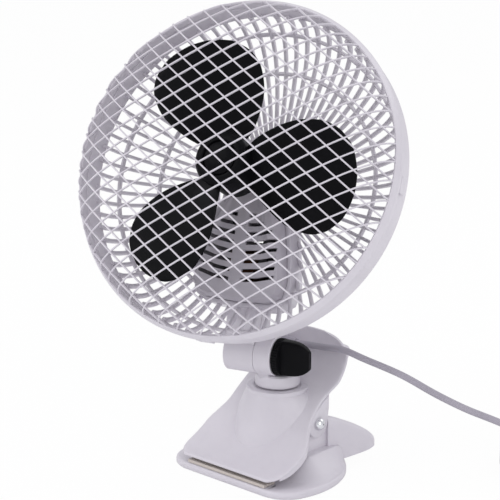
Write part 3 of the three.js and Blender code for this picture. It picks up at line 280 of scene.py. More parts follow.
def slab(outline: Array, near: float, far: float, radius: float) -> Array:
    """A flat wall square to X, its outline drawn in a little at both faces.

    Args:
        outline: (n, 2), y and z.
        near: x of the first face.
        far: x of the other face.
        radius: how far the outline is drawn in, towards its middle.

    Returns:
        Grid (4, n, 3) of loops.
    """
    middle = outline.mean(axis=0)
    reach = np.linalg.norm(outline - middle, axis=1, keepdims=True)
    small = middle + (outline - middle) * (1 - radius / reach)
    step = math.copysign(radius, far - near)
    rows = [(near, small), (near + step, outline), (far - step, outline), (far, small)]
    return np.stack([np.concatenate([np.full((len(line), 1), x), line], 1) for x, line in rows])


def shell(middle: Array, thickness: Array | float) -> Array:
    """Closed loops round a thin wall, one for each row of its middle surface.

    A loop runs along the upper side, the row moved half the thickness along the surface normal,
    and back along the lower side, moved the other way.

    Args:
        middle: grid (n, m, 3).
        thickness: of the wall, a number or (n, m).

    Returns:
        Grid (n, 2 * m, 3).
    """
    du, dv = np.gradient(middle, axis=0), np.gradient(middle, axis=1)
    normal = unit(np.cross(dv, du))
    half = np.broadcast_to(np.asarray(thickness, float), middle.shape[:2])[..., None] / 2
    return np.concatenate([middle + normal * half, (middle - normal * half)[:, ::-1]], axis=1)


class Cap(enum.Enum):
    """How a grid's ends are closed."""

    FLAT = "flat"
    RING = "ring"


@dataclass
class Shape:
    """A mesh under way: points and faces gathered from grids."""

    points: list[Array] = field(default_factory=list)
    faces: list[Array] = field(default_factory=list)
    caps: list[Array] = field(default_factory=list)
    uvs: list[Array] = field(default_factory=list)
    count: int = 0

    def grid(self, grid: Array, cap: Cap = Cap.FLAT) -> "Shape":
        """Adds the quads of one grid whose rows are loops, or of a stack of such grids of one size.

        Args:
            grid: (n, m, 3) or (k, n, m, 3).
            cap: FLAT closes both ends with one face, RING joins the last row to the first.

        Returns:
            The shape itself.
        """
        g = grid[None] if grid.ndim == 3 else grid
        k, n, m, _ = g.shape
        number = self.count + np.arange(k * n * m).reshape(k, n, m)
        if cap is Cap.RING:
            number = np.concatenate([number, number[:, :1]], axis=1)
        number = np.concatenate([number, number[:, :, :1]], axis=2)
        a, b = number[:, :-1, :-1], number[:, :-1, 1:]
        c, d = number[:, 1:, 1:], number[:, 1:, :-1]
        self.faces.append(np.stack([a, b, c, d], axis=-1).reshape(-1, 4))
        if cap is Cap.FLAT:
            self.caps.append(number[:, 0, :m][:, ::-1])
            self.caps.append(number[:, -1, :m])
        u, v = np.meshgrid(np.linspace(0, 1, n), np.linspace(0, 1, m), indexing="ij")
        self.uvs.append(np.broadcast_to(np.stack([u, v], -1), (k, n, m, 2)).reshape(-1, 2))
        self.points.append(g.reshape(-1, 3))
        self.count += k * n * m
        return self

    def made(self, name: str, matrix: Array, smooth: float = 40.0) -> bpy.types.Object:
        """Makes the object, in metres in the row's frame, with its faces pointing outwards.

        Args:
            name: of the piece.
            matrix: its frame, in millimetres.
            smooth: edges flatter than this many degrees are shaded smooth.

        Returns:
            The object, at the origin, untransformed.
        """
        points = placed(np.concatenate(self.points), matrix) * MM
        faces = np.concatenate(self.faces).tolist()
        for cap in self.caps:
            faces += cap.tolist()
        mesh = bpy.data.meshes.new(name)
        mesh.from_pydata(points.tolist(), [], faces)
        layer = mesh.uv_layers.new(name="UVMap")
        loops = np.empty(len(mesh.loops), int)
        mesh.loops.foreach_get("vertex_index", loops)
        layer.data.foreach_set("uv", np.concatenate(self.uvs)[loops].astype(np.float32).ravel())
        made = put(name, mesh)
        outwards(made)
        shade(made, smooth)
        return made


def put(name: str, data: bpy.types.ID) -> bpy.types.Object:
    """Puts a mesh, a lamp or a camera into the scene, at the origin.

    Args:
        name: of the object.
        data: what it holds.

    Returns:
        The object.
    """
    made = bpy.data.objects.new(name, data)
    bpy.context.collection.objects.link(made)
    return made


def outwards(piece: bpy.types.Object) -> None:
    """Recalculates a closed mesh's normals so that its faces point outwards.

    Args:
        piece: the object.
    """
    work = bmesh.new()
    work.from_mesh(piece.data)
    bmesh.ops.recalc_face_normals(work, faces=work.faces)
    work.to_mesh(piece.data)
    work.free()


def shade(piece: bpy.types.Object, degrees: float) -> None:
    """Shades a mesh smooth, apart from edges sharper than an angle in degrees."""
    piece.data.shade_smooth()
    piece.data.set_sharp_from_angle(angle=math.radians(degrees))


def refined(name: str, *nodes: str, width: float = 0.4, segments: int = 2) -> bpy.types.Object:
    """A copy of moulded CAD nodes with merged corners and a small radius on every sharp edge.

    Args:
        name: of the piece.
        nodes: the CAD nodes it is made from and stands for.
        width: of the rounding, in millimetres.
        segments: faces across the rounding.

    Returns:
        The object, which replaces the nodes.
    """
    work = bmesh.new()
    for node in nodes:
        work.from_mesh(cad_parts[node].data)
    bmesh.ops.remove_doubles(work, verts=work.verts, dist=2e-6)
    bmesh.ops.dissolve_limit(
        work, angle_limit=math.radians(1.0), verts=work.verts, edges=work.edges, delimit={"NORMAL"}
    )
    mesh = bpy.data.meshes.new(name)
    work.to_mesh(mesh)
    work.free()
    mesh.materials.clear()
    made = put(name, mesh)
    bevel = made.modifiers.new("Edges", "BEVEL")
    bevel.width = width * MM
    bevel.segments = segments
    bevel.limit_method = "ANGLE"
    bevel.angle_limit = math.radians(35)
    bevel.harden_normals = False
    shade(made, 38)
    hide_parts(*nodes)
    return made


# ------------------------------------------------------------------------------ shader language
Value = "Sock | float | int"


class Sock:
    """A node's output in an expression: + - and * add their Math nodes."""

    def __init__(self, nodes: "Nodes", out: bpy.types.NodeSocket) -> None:
        """Keeps the node tree's helper and the socket.

        Args:
            nodes: the helper.
            out: the socket.
        """
        self.nodes = nodes
        self.out = out

    def _math(self, kind: str, a: Value, b: Value | None = None, clamp: bool = False) -> "Sock":
        """Adds a Math node.

        Args:
            kind: its operation.
            a: first value.
            b: second value, if it has one.
            clamp: whether the result is held from 0 to 1.

        Returns:
            Its output.
        """
        values = {0: a} if b is None else {0: a, 1: b}
        return self.nodes.add("ShaderNodeMath", {"operation": kind, "use_clamp": clamp}, values)

    def __add__(self, other: Value) -> "Sock":
        """Sum."""
        return self._math("ADD", self, other)

    def __radd__(self, other: Value) -> "Sock":
        """Sum, the other way round."""
        return self._math("ADD", other, self)

    def __sub__(self, other: Value) -> "Sock":
        """Difference."""
        return self._math("SUBTRACT", self, other)

    def __rsub__(self, other: Value) -> "Sock":
        """Difference, the other way round."""
        return self._math("SUBTRACT", other, self)

    def __mul__(self, other: Value) -> "Sock":
        """Product."""
        return self._math("MULTIPLY", self, other)

    def wave(self) -> "Sock":
        """Sine."""
        return self._math("SINE", self)

    def size(self) -> "Sock":
        """Absolute value."""
        return self._math("ABSOLUTE", self)

    def held(self) -> "Sock":
        """Clamped from 0 to 1."""
        return self._math("ADD", self, 0.0, clamp=True)

    def ramp(self, low: float, high: float) -> "Sock":
        """A straight rise from 0 at low to 1 at high."""
        return self._math("MULTIPLY", self - low, 1.0 / (high - low), clamp=True)


class Nodes:
    """Builds one material's nodes round its Principled shader."""

    def __init__(self, name: str) -> None:
        """Starts a material with a bare shader.

        Args:
            name: of the material.
        """
        self.material = bpy.data.materials.new(name)
        self.material.use_nodes = True
        self.tree = self.material.node_tree
        self.tree.nodes.clear()
        self.shader = self.tree.nodes.new("ShaderNodeBsdfPrincipled")
        output = self.tree.nodes.new("ShaderNodeOutputMaterial")
        self.tree.links.new(self.shader.outputs[0], output.inputs[0])
        self.place: Sock | None = None

    def add(self, kind: str, settings: dict[str, Any], values: dict[Any, Any], out: Any = 0) -> Sock:
        """Adds any node.

        Args:
            kind: the node's type.
            settings: its own settings, set first.
            values: values or links of its sockets, by name or number.
            out: the output wanted, by name or number.

        Returns:
            The output.
        """
        node = self.tree.nodes.new(kind)
        for key, value in settings.items():
            setattr(node, key, value)
        for key, value in values.items():
            if isinstance(value, Sock):
                self.tree.links.new(value.out, node.inputs[key])
            else:
                node.inputs[key].default_value = value
        return Sock(self, node.outputs[out])

    def coordinates(self) -> Sock:
        """The piece's own coordinates, from one node that all its patterns share.

        Returns:
            The coordinates, in metres.
        """
        if self.place is None:
            self.place = self.add("ShaderNodeTexCoord", {}, {}, "Object")
        return self.place

    def noise(
        self, scale: float, detail: float = 3.0, rough: float = 0.5, stretch: Sequence[float] = (1, 1, 1)
    ) -> Sock:
        """Noise on the piece, with a scale in cycles per metre.

        Args:
            scale: cycles per metre.
            detail: octaves.
            rough: how strong the finer octaves are.
            stretch: scale of each axis.

        Returns:
            The noise, about 0.5.
        """
        where = self.add("ShaderNodeMapping", {}, {"Vector": self.coordinates(), "Scale": stretch})
        values = {"Vector": where, "Scale": scale, "Detail": detail, "Roughness": rough}
        return self.add("ShaderNodeTexNoise", {}, values, "Fac")

    def mixed(self, share: Value, a: Any, b: Any) -> Sock:
        """A colour between two.

        Args:
            share: of the second colour.
            a: first colour, as numbers or a link.
            b: second colour.

        Returns:
            The colour.
        """
        values = {0: share, 6: _rgba(a), 7: _rgba(b)}
        return self.add("ShaderNodeMix", {"data_type": "RGBA"}, values, 2)

    def bump(self, height: Sock, strength: float, distance: float) -> Sock:
        """A bump from a height, with a distance in millimetres."""
        values = {"Strength": strength, "Distance": distance * MM, "Height": height}
        return self.add("ShaderNodeBump", {}, values)

    def set(self, **values: Any) -> bpy.types.Material:
        """Sets the shader's sockets, by name with underscores for spaces.

        Args:
            values: numbers, colours or links.

        Returns:
            The finished material.
        """
        for key, value in values.items():
            socket = self.shader.inputs[key.replace("_", " ")]
            if isinstance(value, Sock):
                self.tree.links.new(value.out, socket)
            else:
                socket.default_value = _rgba(value) if isinstance(value, tuple) else value
        return self.material


def _rgba(colour: Any) -> Any:
    """A colour with its alpha, or a link as it is."""
    return colour if isinstance(colour, Sock) else (*colour[:3], 1.0)


def light(red: int, green: int, blue: int) -> tuple[float, float, float]:
    """A colour seen on a screen as the light it stands for, by the standard curve of screens.

    Args:
        red: from 0 to 255.
        green: from 0 to 255.
        blue: from 0 to 255.

    Returns:
        The three channels, from 0 to 1.
    """

    def one(value: int) -> float:
        """One channel's light."""
        v = value / 255
        return v / 12.92 if v <= 0.04045 else ((v + 0.055) / 1.055) ** 2.4

    return one(red), one(green), one(blue)


# ------------------------------------------------------------------------------ finishes
@dataclass(frozen=True)
class Moulded:
    """Injection moulded plastic: a faint flow cloud, handling dust in a few places, a fine skin."""

    name: str
    colour: tuple[float, float, float]
    shaded: tuple[float, float, float]
    roughness: float = 0.38
    grain: float = 0.02
    mirror: float = 0.5

    def material(self) -> bpy.types.Material:
        """Builds the material.

        Returns:
            The finished material.
        """
        n = Nodes(self.name)
        cloud = n.noise(28, 3)
        fine = n.noise(2600, 2, 0.6)
        dust = n.noise(150, 5, 0.65).ramp(0.52, 0.72)
        colour = n.mixed((cloud.ramp(0.3, 0.75) * 0.55 + dust * 0.2).held(), self.colour, self.shaded)
        height = fine * 0.5 + n.noise(420, 2) * 0.5
        return n.set(
            Base_Color=colour,
            Roughness=self.roughness + (cloud - 0.5) * 0.12 + dust * 0.1,
            Normal=n.bump(height, 0.35, self.grain),
            Specular_IOR_Level=self.mirror,
        )


@dataclass(frozen=True)
class Metal:
    """Metal with fine drawn lines and a faint tarnish."""

    name: str
    colour: tuple[float, float, float]
    roughness: float = 0.16
    lines: float = 900.0

    def material(self) -> bpy.types.Material:
        """Builds the material.

        Returns:
            The finished material.
        """
        n = Nodes(self.name)
        drawn = n.noise(self.lines, 2, 0.5, (0.04, 1, 1))
        tarnish = n.noise(300, 4, 0.6).ramp(0.5, 0.8)
        dark = tuple(c * 0.72 for c in self.colour)
        return n.set(
            Base_Color=n.mixed(tarnish * 0.5, self.colour, dark),
            Metallic=1.0,
            Roughness=self.roughness + drawn * 0.1 + tarnish * 0.12,
            Normal=n.bump(drawn, 0.2, 0.01),
        )


@dataclass(frozen=True)
class Sheath:
    """Extruded vinyl of a cord: matt, with slow clouds and a fine skin."""

    name: str
    colour: tuple[float, float, float]

    def material(self) -> bpy.types.Material:
        """Builds the material.

        Returns:
            The finished material.
        """
        n = Nodes(self.name)
        cloud = n.noise(60, 3)
        skin = n.noise(1500, 3, 0.6)
        dark = tuple(c * 0.82 for c in self.colour)
        return n.set(
            Base_Color=n.mixed(cloud.ramp(0.3, 0.7) * 0.6, self.colour, dark),
            Roughness=0.46 + skin * 0.14,
            Normal=n.bump(skin + cloud * 2, 0.4, 0.05),
        )


@dataclass(frozen=True)
class Rubber:
    """Soft grip strip: matt, with speckle and fine ribs along X, the troughs between ribs painted darker as
    painted shade.
    """

    name: str
    colour: tuple[float, float, float]
    ribs: float = 1.1

    def material(self) -> bpy.types.Material:
        """Builds the material: the rib's height is a sine of y over its pitch in millimetres.

        Returns:
            The finished material.
        """
        n = Nodes(self.name)
        y = n.add("ShaderNodeSeparateXYZ", {}, {"Vector": n.coordinates()}, "Y")
        rib = (y * (2 * math.pi / (self.ribs * MM))).wave() * 0.5 + 0.5
        speck = n.noise(900, 4, 0.7)
        dark = tuple(c * 0.55 for c in self.colour)
        return n.set(
            # The troughs between the ribs are painted darker: painted shade; the speckle's darker spots are
            # the rubber's own.
            Base_Color=n.mixed((1 - rib) * 0.55 + speck.ramp(0.5, 0.8) * 0.25, self.colour, dark),
            Roughness=0.72 + speck * 0.2,
            Normal=n.bump(rib + speck * 0.3, 0.6, 0.25),
        )


@dataclass(frozen=True)
class Laminated:
    """A motor's stack of steel sheets: lines square to the fan's axis."""

    name: str
    axis: tuple[float, float, float]
    sheet: float = 0.55

    def material(self) -> bpy.types.Material:
        """Builds the material: a sine of the distance along the axis gives one line a sheet.

        Returns:
            The finished material.
        """
        n = Nodes(self.name)
        vectors = {0: n.coordinates(), 1: self.axis}
        along = n.add("ShaderNodeVectorMath", {"operation": "DOT_PRODUCT"}, vectors, 1)
        line = (along * (2 * math.pi / (self.sheet * MM))).wave() * 0.5 + 0.5
        rust = n.noise(500, 4, 0.6).ramp(0.55, 0.75)
        steel = n.mixed(line * 0.6, (0.22, 0.225, 0.24), (0.1, 0.1, 0.11))
        return n.set(
            Base_Color=n.mixed(rust * 0.4, steel, (0.16, 0.07, 0.03)),
            Metallic=0.85 - rust * 0.5,
            Roughness=0.42 + rust * 0.3,
            Normal=n.bump(line, 0.5, 0.08),
        )


@dataclass(frozen=True)
class Winding:
    """Enamelled wire wound in neat turns, one beside the other along X, with painted shade in the grooves
    between turns.
    """

    name: str
    pitch: float = 0.5

    def material(self) -> bpy.types.Material:
        """Builds the material: a turn's height is the sine of x over the wire's pitch, without sign.

        Returns:
            The finished material.
        """
        n = Nodes(self.name)
        x = n.add("ShaderNodeSeparateXYZ", {}, {"Vector": n.coordinates()}, "X")
        turn_height = ((x * (math.pi / (self.pitch * MM))).wave()).size()
        return n.set(
            # The colour darkens from each turn's crown down to the grooves between turns: painted shade.
            Base_Color=n.mixed(turn_height, (0.03, 0.01, 0.004), (0.12, 0.045, 0.018)),
            Metallic=0.75,
            Roughness=0.3 + n.noise(600, 2) * 0.15,
            Normal=n.bump(turn_height, 0.7, 0.12),
        )


Finish = Moulded | Metal | Sheath | Rubber | Laminated | Winding


# ------------------------------------------------------------------------------ shared by the pieces
WHITE = Moulded("white_plastic", light(219, 215, 222), light(206, 201, 210), 0.36)
# A darker copy of the white plastic, kept for the motor's front cover: painted shade, for a cover that sits
# in shade behind the blades.
PAINTED_SHADE_WHITE = Moulded("pod_painted_shade_white", light(200, 195, 203), light(184, 180, 189), 0.4)
BLACK = Moulded("black_plastic", light(15, 15, 17), light(22, 22, 25), 0.4, 0.015, 0.06)
STRIP = Rubber("grip_strip", light(204, 195, 188))
CHROME = Metal("chrome", (0.82, 0.83, 0.85), 0.08)
STEEL = Metal("plated_steel", (0.62, 0.62, 0.64), 0.24)
BRASS = Metal("plug_brass", (0.78, 0.62, 0.32), 0.2)
LEAD = Sheath("cord_vinyl", light(172, 167, 178))


@dataclass
class Workshop:
    """Dresses pieces: gives an object its finish and the body it rides on."""

    finishes: dict[str, bpy.types.Material] = field(default_factory=dict)

    def finish(self, kind: Finish) -> bpy.types.Material:
        """The material of a finish, built once.

        Args:
            kind: the finish.

        Returns:
            Its material.
        """
        if kind.name not in self.finishes:
            self.finishes[kind.name] = kind.material()
        return self.finishes[kind.name]

    def dress(self, piece: bpy.types.Object, kind: Finish, body: str) -> bpy.types.Object:
        """Gives a new piece its finish and body, and reports it.

        Args:
            piece: the object.
            kind: its finish.
            body: the CAD body it rides on.

        Returns:
            The object.
        """
        piece.data.materials.clear()
        piece.data.materials.append(self.finish(kind))
        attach(piece, body)
        log.info("piece %s on %s: %d faces", piece.name, body, len(piece.data.polygons))
        return piece

    def keep(self, kind: Finish, *nodes: str) -> None:
        """Gives CAD nodes that stay their finish.

        Args:
            kind: the finish.
            nodes: names of the nodes.
        """
        for node in nodes:
            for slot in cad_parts[node].material_slots:
                slot.material = self.finish(kind)


SHOP = Workshop()


# ------------------------------------------------------------------------------ the head's cage
@dataclass
class FrontGuard:
    """Rim and domed diamond mesh in front of the blades."""

    rim_radius: float = RIM_RADIUS
    rim_width: float = 3.1
    rim_front: float = -3.2
    rim_back: float = 3.0
    height: float = 27.0
    pitch: float = 8.6
    angles: tuple[float, float] = (-34.0, 34.0)
    strand: float = 0.95
    depth: float = 1.3
    bite: float = 0.7
    steps: int = 81

    def dome(self, radius: Array) -> Array:
        """y of the dome: the height times the root of one less the fourth power of the radius share."""
        share = radius / (self.rim_radius - self.rim_width + self.bite + 0.1)
        return -self.height * np.sqrt(np.maximum(1 - share**4, 0.0004))

    def strands(self, angle: float) -> Array:
        """The parallel strands of one family: straight lines of the plan laid on the dome.

        Args:
            angle: of the lines in the plan, in degrees.

        Returns:
            Closed sections along each strand, (strands, steps, points, 3).
        """
        limit = self.rim_radius - self.rim_width + self.bite
        half = int(limit / self.pitch)
        offset = np.arange(-half, half + 1) * self.pitch
        reach = np.sqrt(limit**2 - offset**2)
        s = np.sin(np.linspace(-1, 1, self.steps) * np.pi / 2)
        along = reach[:, None] * s[None]
        a = math.radians(angle)
        x = along * math.cos(a) - offset[:, None] * math.sin(a)
        z = along * math.sin(a) + offset[:, None] * math.cos(a)
        r = np.hypot(x, z)
        slope = (self.dome(r + 0.1) - self.dome(r - 0.1)) / 0.2
        out = np.stack([x, np.zeros_like(x), z], -1) / np.maximum(r, 1e-6)[..., None]
        normal = unit(out * slope[..., None] - np.array([0.0, 1.0, 0.0]))
        section = ring(8, 0.8) * np.array([self.strand, self.depth]) / 2
        return swept(np.stack([x, self.dome(r), z], -1), normal, section)

    def build(self, pose: Pose) -> bpy.types.Object:
        """Makes the guard and dresses it.

        Args:
            pose: how the head stands.

        Returns:
            The guard.
        """
        inner = self.rim_radius - self.rim_width
        corners = [
            (inner, self.rim_back), (inner, self.rim_front + 0.4), (inner + 1.2, self.rim_front - 0.6),
            (self.rim_radius - 0.8, -1.4), (self.rim_radius, 0.4), (self.rim_radius, self.rim_back),
        ]
        shape = Shape()
        for angle in self.angles:
            shape.grid(self.strands(angle))
        shape.grid(revolved(rounded_profile(corners, 0.6), 180), Cap.RING)
        made = shape.made("guard_cage", pose.head())
        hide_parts("front_guard")
        return SHOP.dress(made, WHITE, "head")


@dataclass
class RearGrille:
    """Band, bowl of radial bars, three rings and the collar round the motor pod."""

    band_radius: float = RIM_RADIUS - 1.5
    band_wall: float = 2.0
    band_front: float = 3.3
    band_back: float = 17.0
    bars: int = 72
    bar_width: float = 2.0
    bar_depth: float = 3.2
    bar_reach: float = 91.0
    bowl: float = 50.0
    bowl_start: float = 4.0
    fullness: float = 2.8
    rings: tuple[float, float, float] = (85.0, 66.0, 32.0)
    collar: float = 2.2
    collar_depths: tuple[float, float, float, float] = (36.0, 36.8, 52.2, 53.0)

    def depth(self, radius: Array) -> Array:
        """y of the bowl: from the band to the middle by the root of one less a power of the radius.

        Args:
            radius: distances from the fan's axis.

        Returns:
            The depths.
        """
        t = np.minimum(radius / self.bar_reach, 1)
        back = self.band_back - self.bowl_start
        return back + (self.bowl - back) * np.sqrt(np.maximum(1 - t**self.fullness, 0))

    def pod_reach(self, angle: Array) -> Array:
        """Radius of the collar's outside in each direction, read off the pod's outline.

        Args:
            angle: directions in the fan's plane, in radians.

        Returns:
            The radii.
        """
        pod = PodOutline().loop(-(self.collar + CLEARANCE))
        pod_angle = np.arctan2(pod[:, 1], pod[:, 0])
        order = np.argsort(pod_angle)
        wrapped = np.arctan2(np.sin(angle), np.cos(angle))
        return np.interp(wrapped, pod_angle[order], np.hypot(*pod.T)[order], period=2 * np.pi)

    def spokes(self) -> Array:
        """The radial bars, laid on the bowl: each runs in to the middle ring or the pod's collar.

        Returns:
            Closed sections along each bar, (bars, steps, points, 3).
        """
        a = np.arange(self.bars) * 2 * np.pi / self.bars
        start = np.maximum(self.rings[-1] - 0.6, self.pod_reach(a) - 0.8)
        t = np.sin(np.linspace(0, 1, 40) * np.pi / 2)[None]
        r = start[:, None] + (self.bar_reach - start[:, None]) * t
        path = np.stack([r * np.cos(a)[:, None], self.depth(r), r * np.sin(a)[:, None]], -1)
        normal = np.broadcast_to(np.stack([np.cos(a), 0.6 + 0 * a, np.sin(a)], -1)[:, None], path.shape)
        return swept(path, normal, ring(8, 0.7) * np.array([self.bar_width, self.bar_depth]) / 2)

    def hoops(self, shape: Shape) -> None:
        """Adds the rings to a shape: each is whole, or open where the collar lies outside it.

        Args:
            shape: the shape under way.
        """
        angle = np.linspace(0, 2 * np.pi, 181)[:-1]
        for radius in self.rings:
            middle = np.array([radius, float(self.depth(np.array(radius)))])
            section = ring(10, 0.8) * np.array([self.bar_width * 1.1, self.bar_depth]) / 2 + middle
            hoop = revolved(section, len(angle))
            hidden = self.pod_reach(angle) > radius + 1
            if hidden.any():
                shape.grid(np.roll(hoop, -int(np.argmax(hidden)), axis=0)[int(hidden.sum()):])
            else:
                shape.grid(hoop, Cap.RING)

    def band(self) -> Array:
        """The band: a wall round the bowl's front with a slightly bevelled back.

        Returns:
            Grid (steps, points, 3) about Y.
        """
        outside, inside = self.band_radius, self.band_radius - self.band_wall
        wall = [
            (outside, self.band_front), (outside, self.band_back), (inside, self.band_back + 0.6),
            (inside, self.band_front),
        ]
        return revolved(rounded_profile(wall, 0.7), 180)

    def frame(self) -> Array:
        """The collar: the pod's outline carried back as a closed wall with bevelled ends.

        Returns:
            Grid (steps, points, 3) round the pod.
        """
        y = np.array(self.collar_depths)
        walls = []
        for inset in (CLEARANCE + self.collar, CLEARANCE):
            x, z = PodOutline().loop(-inset).T[:, :, None].repeat(len(y), 2)
            walls.append(np.stack([x, np.broadcast_to(y, x.shape), z], -1))
        outside, inside = walls
        bevel = np.array([0.35, 0, 0, 0.35])[None, :, None]
        return np.concatenate([outside + (inside - outside) * bevel, inside[:, ::-1]], axis=1)

    def build(self, pose: Pose) -> bpy.types.Object:
        """Makes the grille and dresses it.

        Args:
            pose: how the head stands.

        Returns:
            The grille.
        """
        shape = Shape().grid(self.spokes())
        self.hoops(shape)
        shape.grid(self.band(), Cap.RING)
        shape.grid(self.frame(), Cap.RING)
        made = shape.made("rear_cage", pose.head())
        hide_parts("rear_grille")
        return SHOP.dress(made, WHITE, "head")


@dataclass
class PodOutline:
    """Outline of the motor pod seen along the fan's axis, for x >= 0 from the top down."""

    half: tuple[tuple[float, float], ...] = (
        (0, 16), (9, 13.2), (14.6, 6), (15.4, -4), (16, -13), (20.6, -25.5), (24.4, -40), (27.3, -54),
        (25.8, -62.4), (19, -66.4), (0, -67.4),
    )
    count: int = 120

    def loop(self, inset: float) -> Array:
        """The closed outline, moved along its normals and evenly stepped.

        Args:
            inset: how far inwards, or outwards if it is negative.

        Returns:
            Points (count, 2) of x and z.
        """
        right = np.asarray(self.half, float)
        left = right[1:-1][::-1] * np.array([-1.0, 1.0])
        corners = np.concatenate([right, left])
        run = np.concatenate([corners, corners[:1]])
        along = np.concatenate([[0], np.cumsum(np.linalg.norm(np.diff(run, axis=0), axis=1))])
        even = np.linspace(0, along[-1], self.count + 1)[:-1]
        loop = np.stack([np.interp(even, along, run[:, k]) for k in range(2)], 1)
        tangent = unit(np.roll(loop, -1, axis=0) - np.roll(loop, 1, axis=0))
        return loop + inset * np.stack([tangent[:, 1], -tangent[:, 0]], 1)


# ------------------------------------------------------------------------------ rotor
@dataclass
class Rotor:
    """Hub and three blades, each a curved plate with thin round edges."""

    hub_radius: float = 15.4
    hub_front: float = -20.5
    hub_back: float = 6.0
    cap_radius: float = 9.0
    bore: float = 1.8
    boss: float = 5.0
    first: float = -3.0
    blades: int = 3
    middle: float = -6.0
    thickness: float = 1.6
    stations: tuple[tuple[float, float, float], ...] = (
        (14.2, 38, 40), (21, 39.5, 36), (33, 38.5, 28), (44, 36, 22.5), (53.5, 32, 19), (62, 27, 16.5),
        (69.2, 19, 14.5), (72.8, 11.4, 13.5), (74.2, 4, 13),
    )

    def blade(self, degrees: float) -> Array:
        """Sections round one blade, from its root to its tip.

        At radius r and angle phi from the blade's middle, y is the middle less the tangent of the
        pitch times r times the sine of phi, and the wall thins to the edges by the root of one less
        the eighth power of the share of the half-angle.

        Args:
            degrees: angle of the blade's middle.

        Returns:
            Grid of closed loops.
        """
        table = np.asarray(self.stations, float)
        out = np.linspace(0, 1, 44)
        r = table[0, 0] + (table[-1, 0] - table[0, 0]) * np.sin(out * np.pi / 2)
        half = smooth_table(r, table[:, 0], table[:, 1])
        pitch = smooth_table(r, table[:, 0], table[:, 2])
        v = np.sin(np.linspace(-1, 1, 31) * np.pi / 2)
        phi = np.radians(half)[:, None] * v[None]
        a = math.radians(degrees) + phi
        y = self.middle - np.tan(np.radians(pitch))[:, None] * r[:, None] * np.sin(phi)
        grid = np.stack([r[:, None] * np.cos(a), y, r[:, None] * np.sin(a)], -1)
        edge = np.sqrt(1 - np.abs(v) ** 8 * 0.96)
        tip = np.sqrt(1 - out**24 * 0.9)
        return shell(grid, self.thickness * edge[None] * tip[:, None])

    def build(self, pose: Pose) -> list[bpy.types.Object]:
        """Makes hub, blades and cap, and dresses them.

        Args:
            pose: how the head stands.

        Returns:
            The rotor and the cap.
        """
        shape = Shape()
        for k in range(self.blades):
            shape.grid(self.blade(self.first + 360 / self.blades * k))
        r, f, b = self.hub_radius, self.hub_front, self.hub_back
        c, bore, boss = self.cap_radius, self.bore, self.boss
        seat = c + 2 * CLEARANCE
        hub = [
            (bore, f + 3), (seat, f + 3), (seat, f + 0.4), (r - 2.2, f + 0.8), (r - 0.2, f + 3.6), (r, b),
            (r - 2, b), (r - 2, f + 5.2), (boss, f + 5.2), (boss, b - 3), (bore, b - 3),
        ]
        shape.grid(revolved(rounded_profile(hub, 1.1), 72), Cap.RING)
        rotor = shape.made("blades", pose.head())
        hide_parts("fan_rotor")
        cap = [(0.05, f + 2.7), (c, f + 2.7), (c, f + 1.2), (c - 1.4, f), (c - 4.5, f - 0.5), (0.05, f - 0.6)]
        front = Shape().grid(lathed(np.asarray(cap[::-1], float), 64)).made("hub_front", pose.head())
        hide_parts("hub_cap")
        return [
            SHOP.dress(rotor, BLACK, "rotor"),
            SHOP.dress(front, BLACK, "rotor"),
        ]


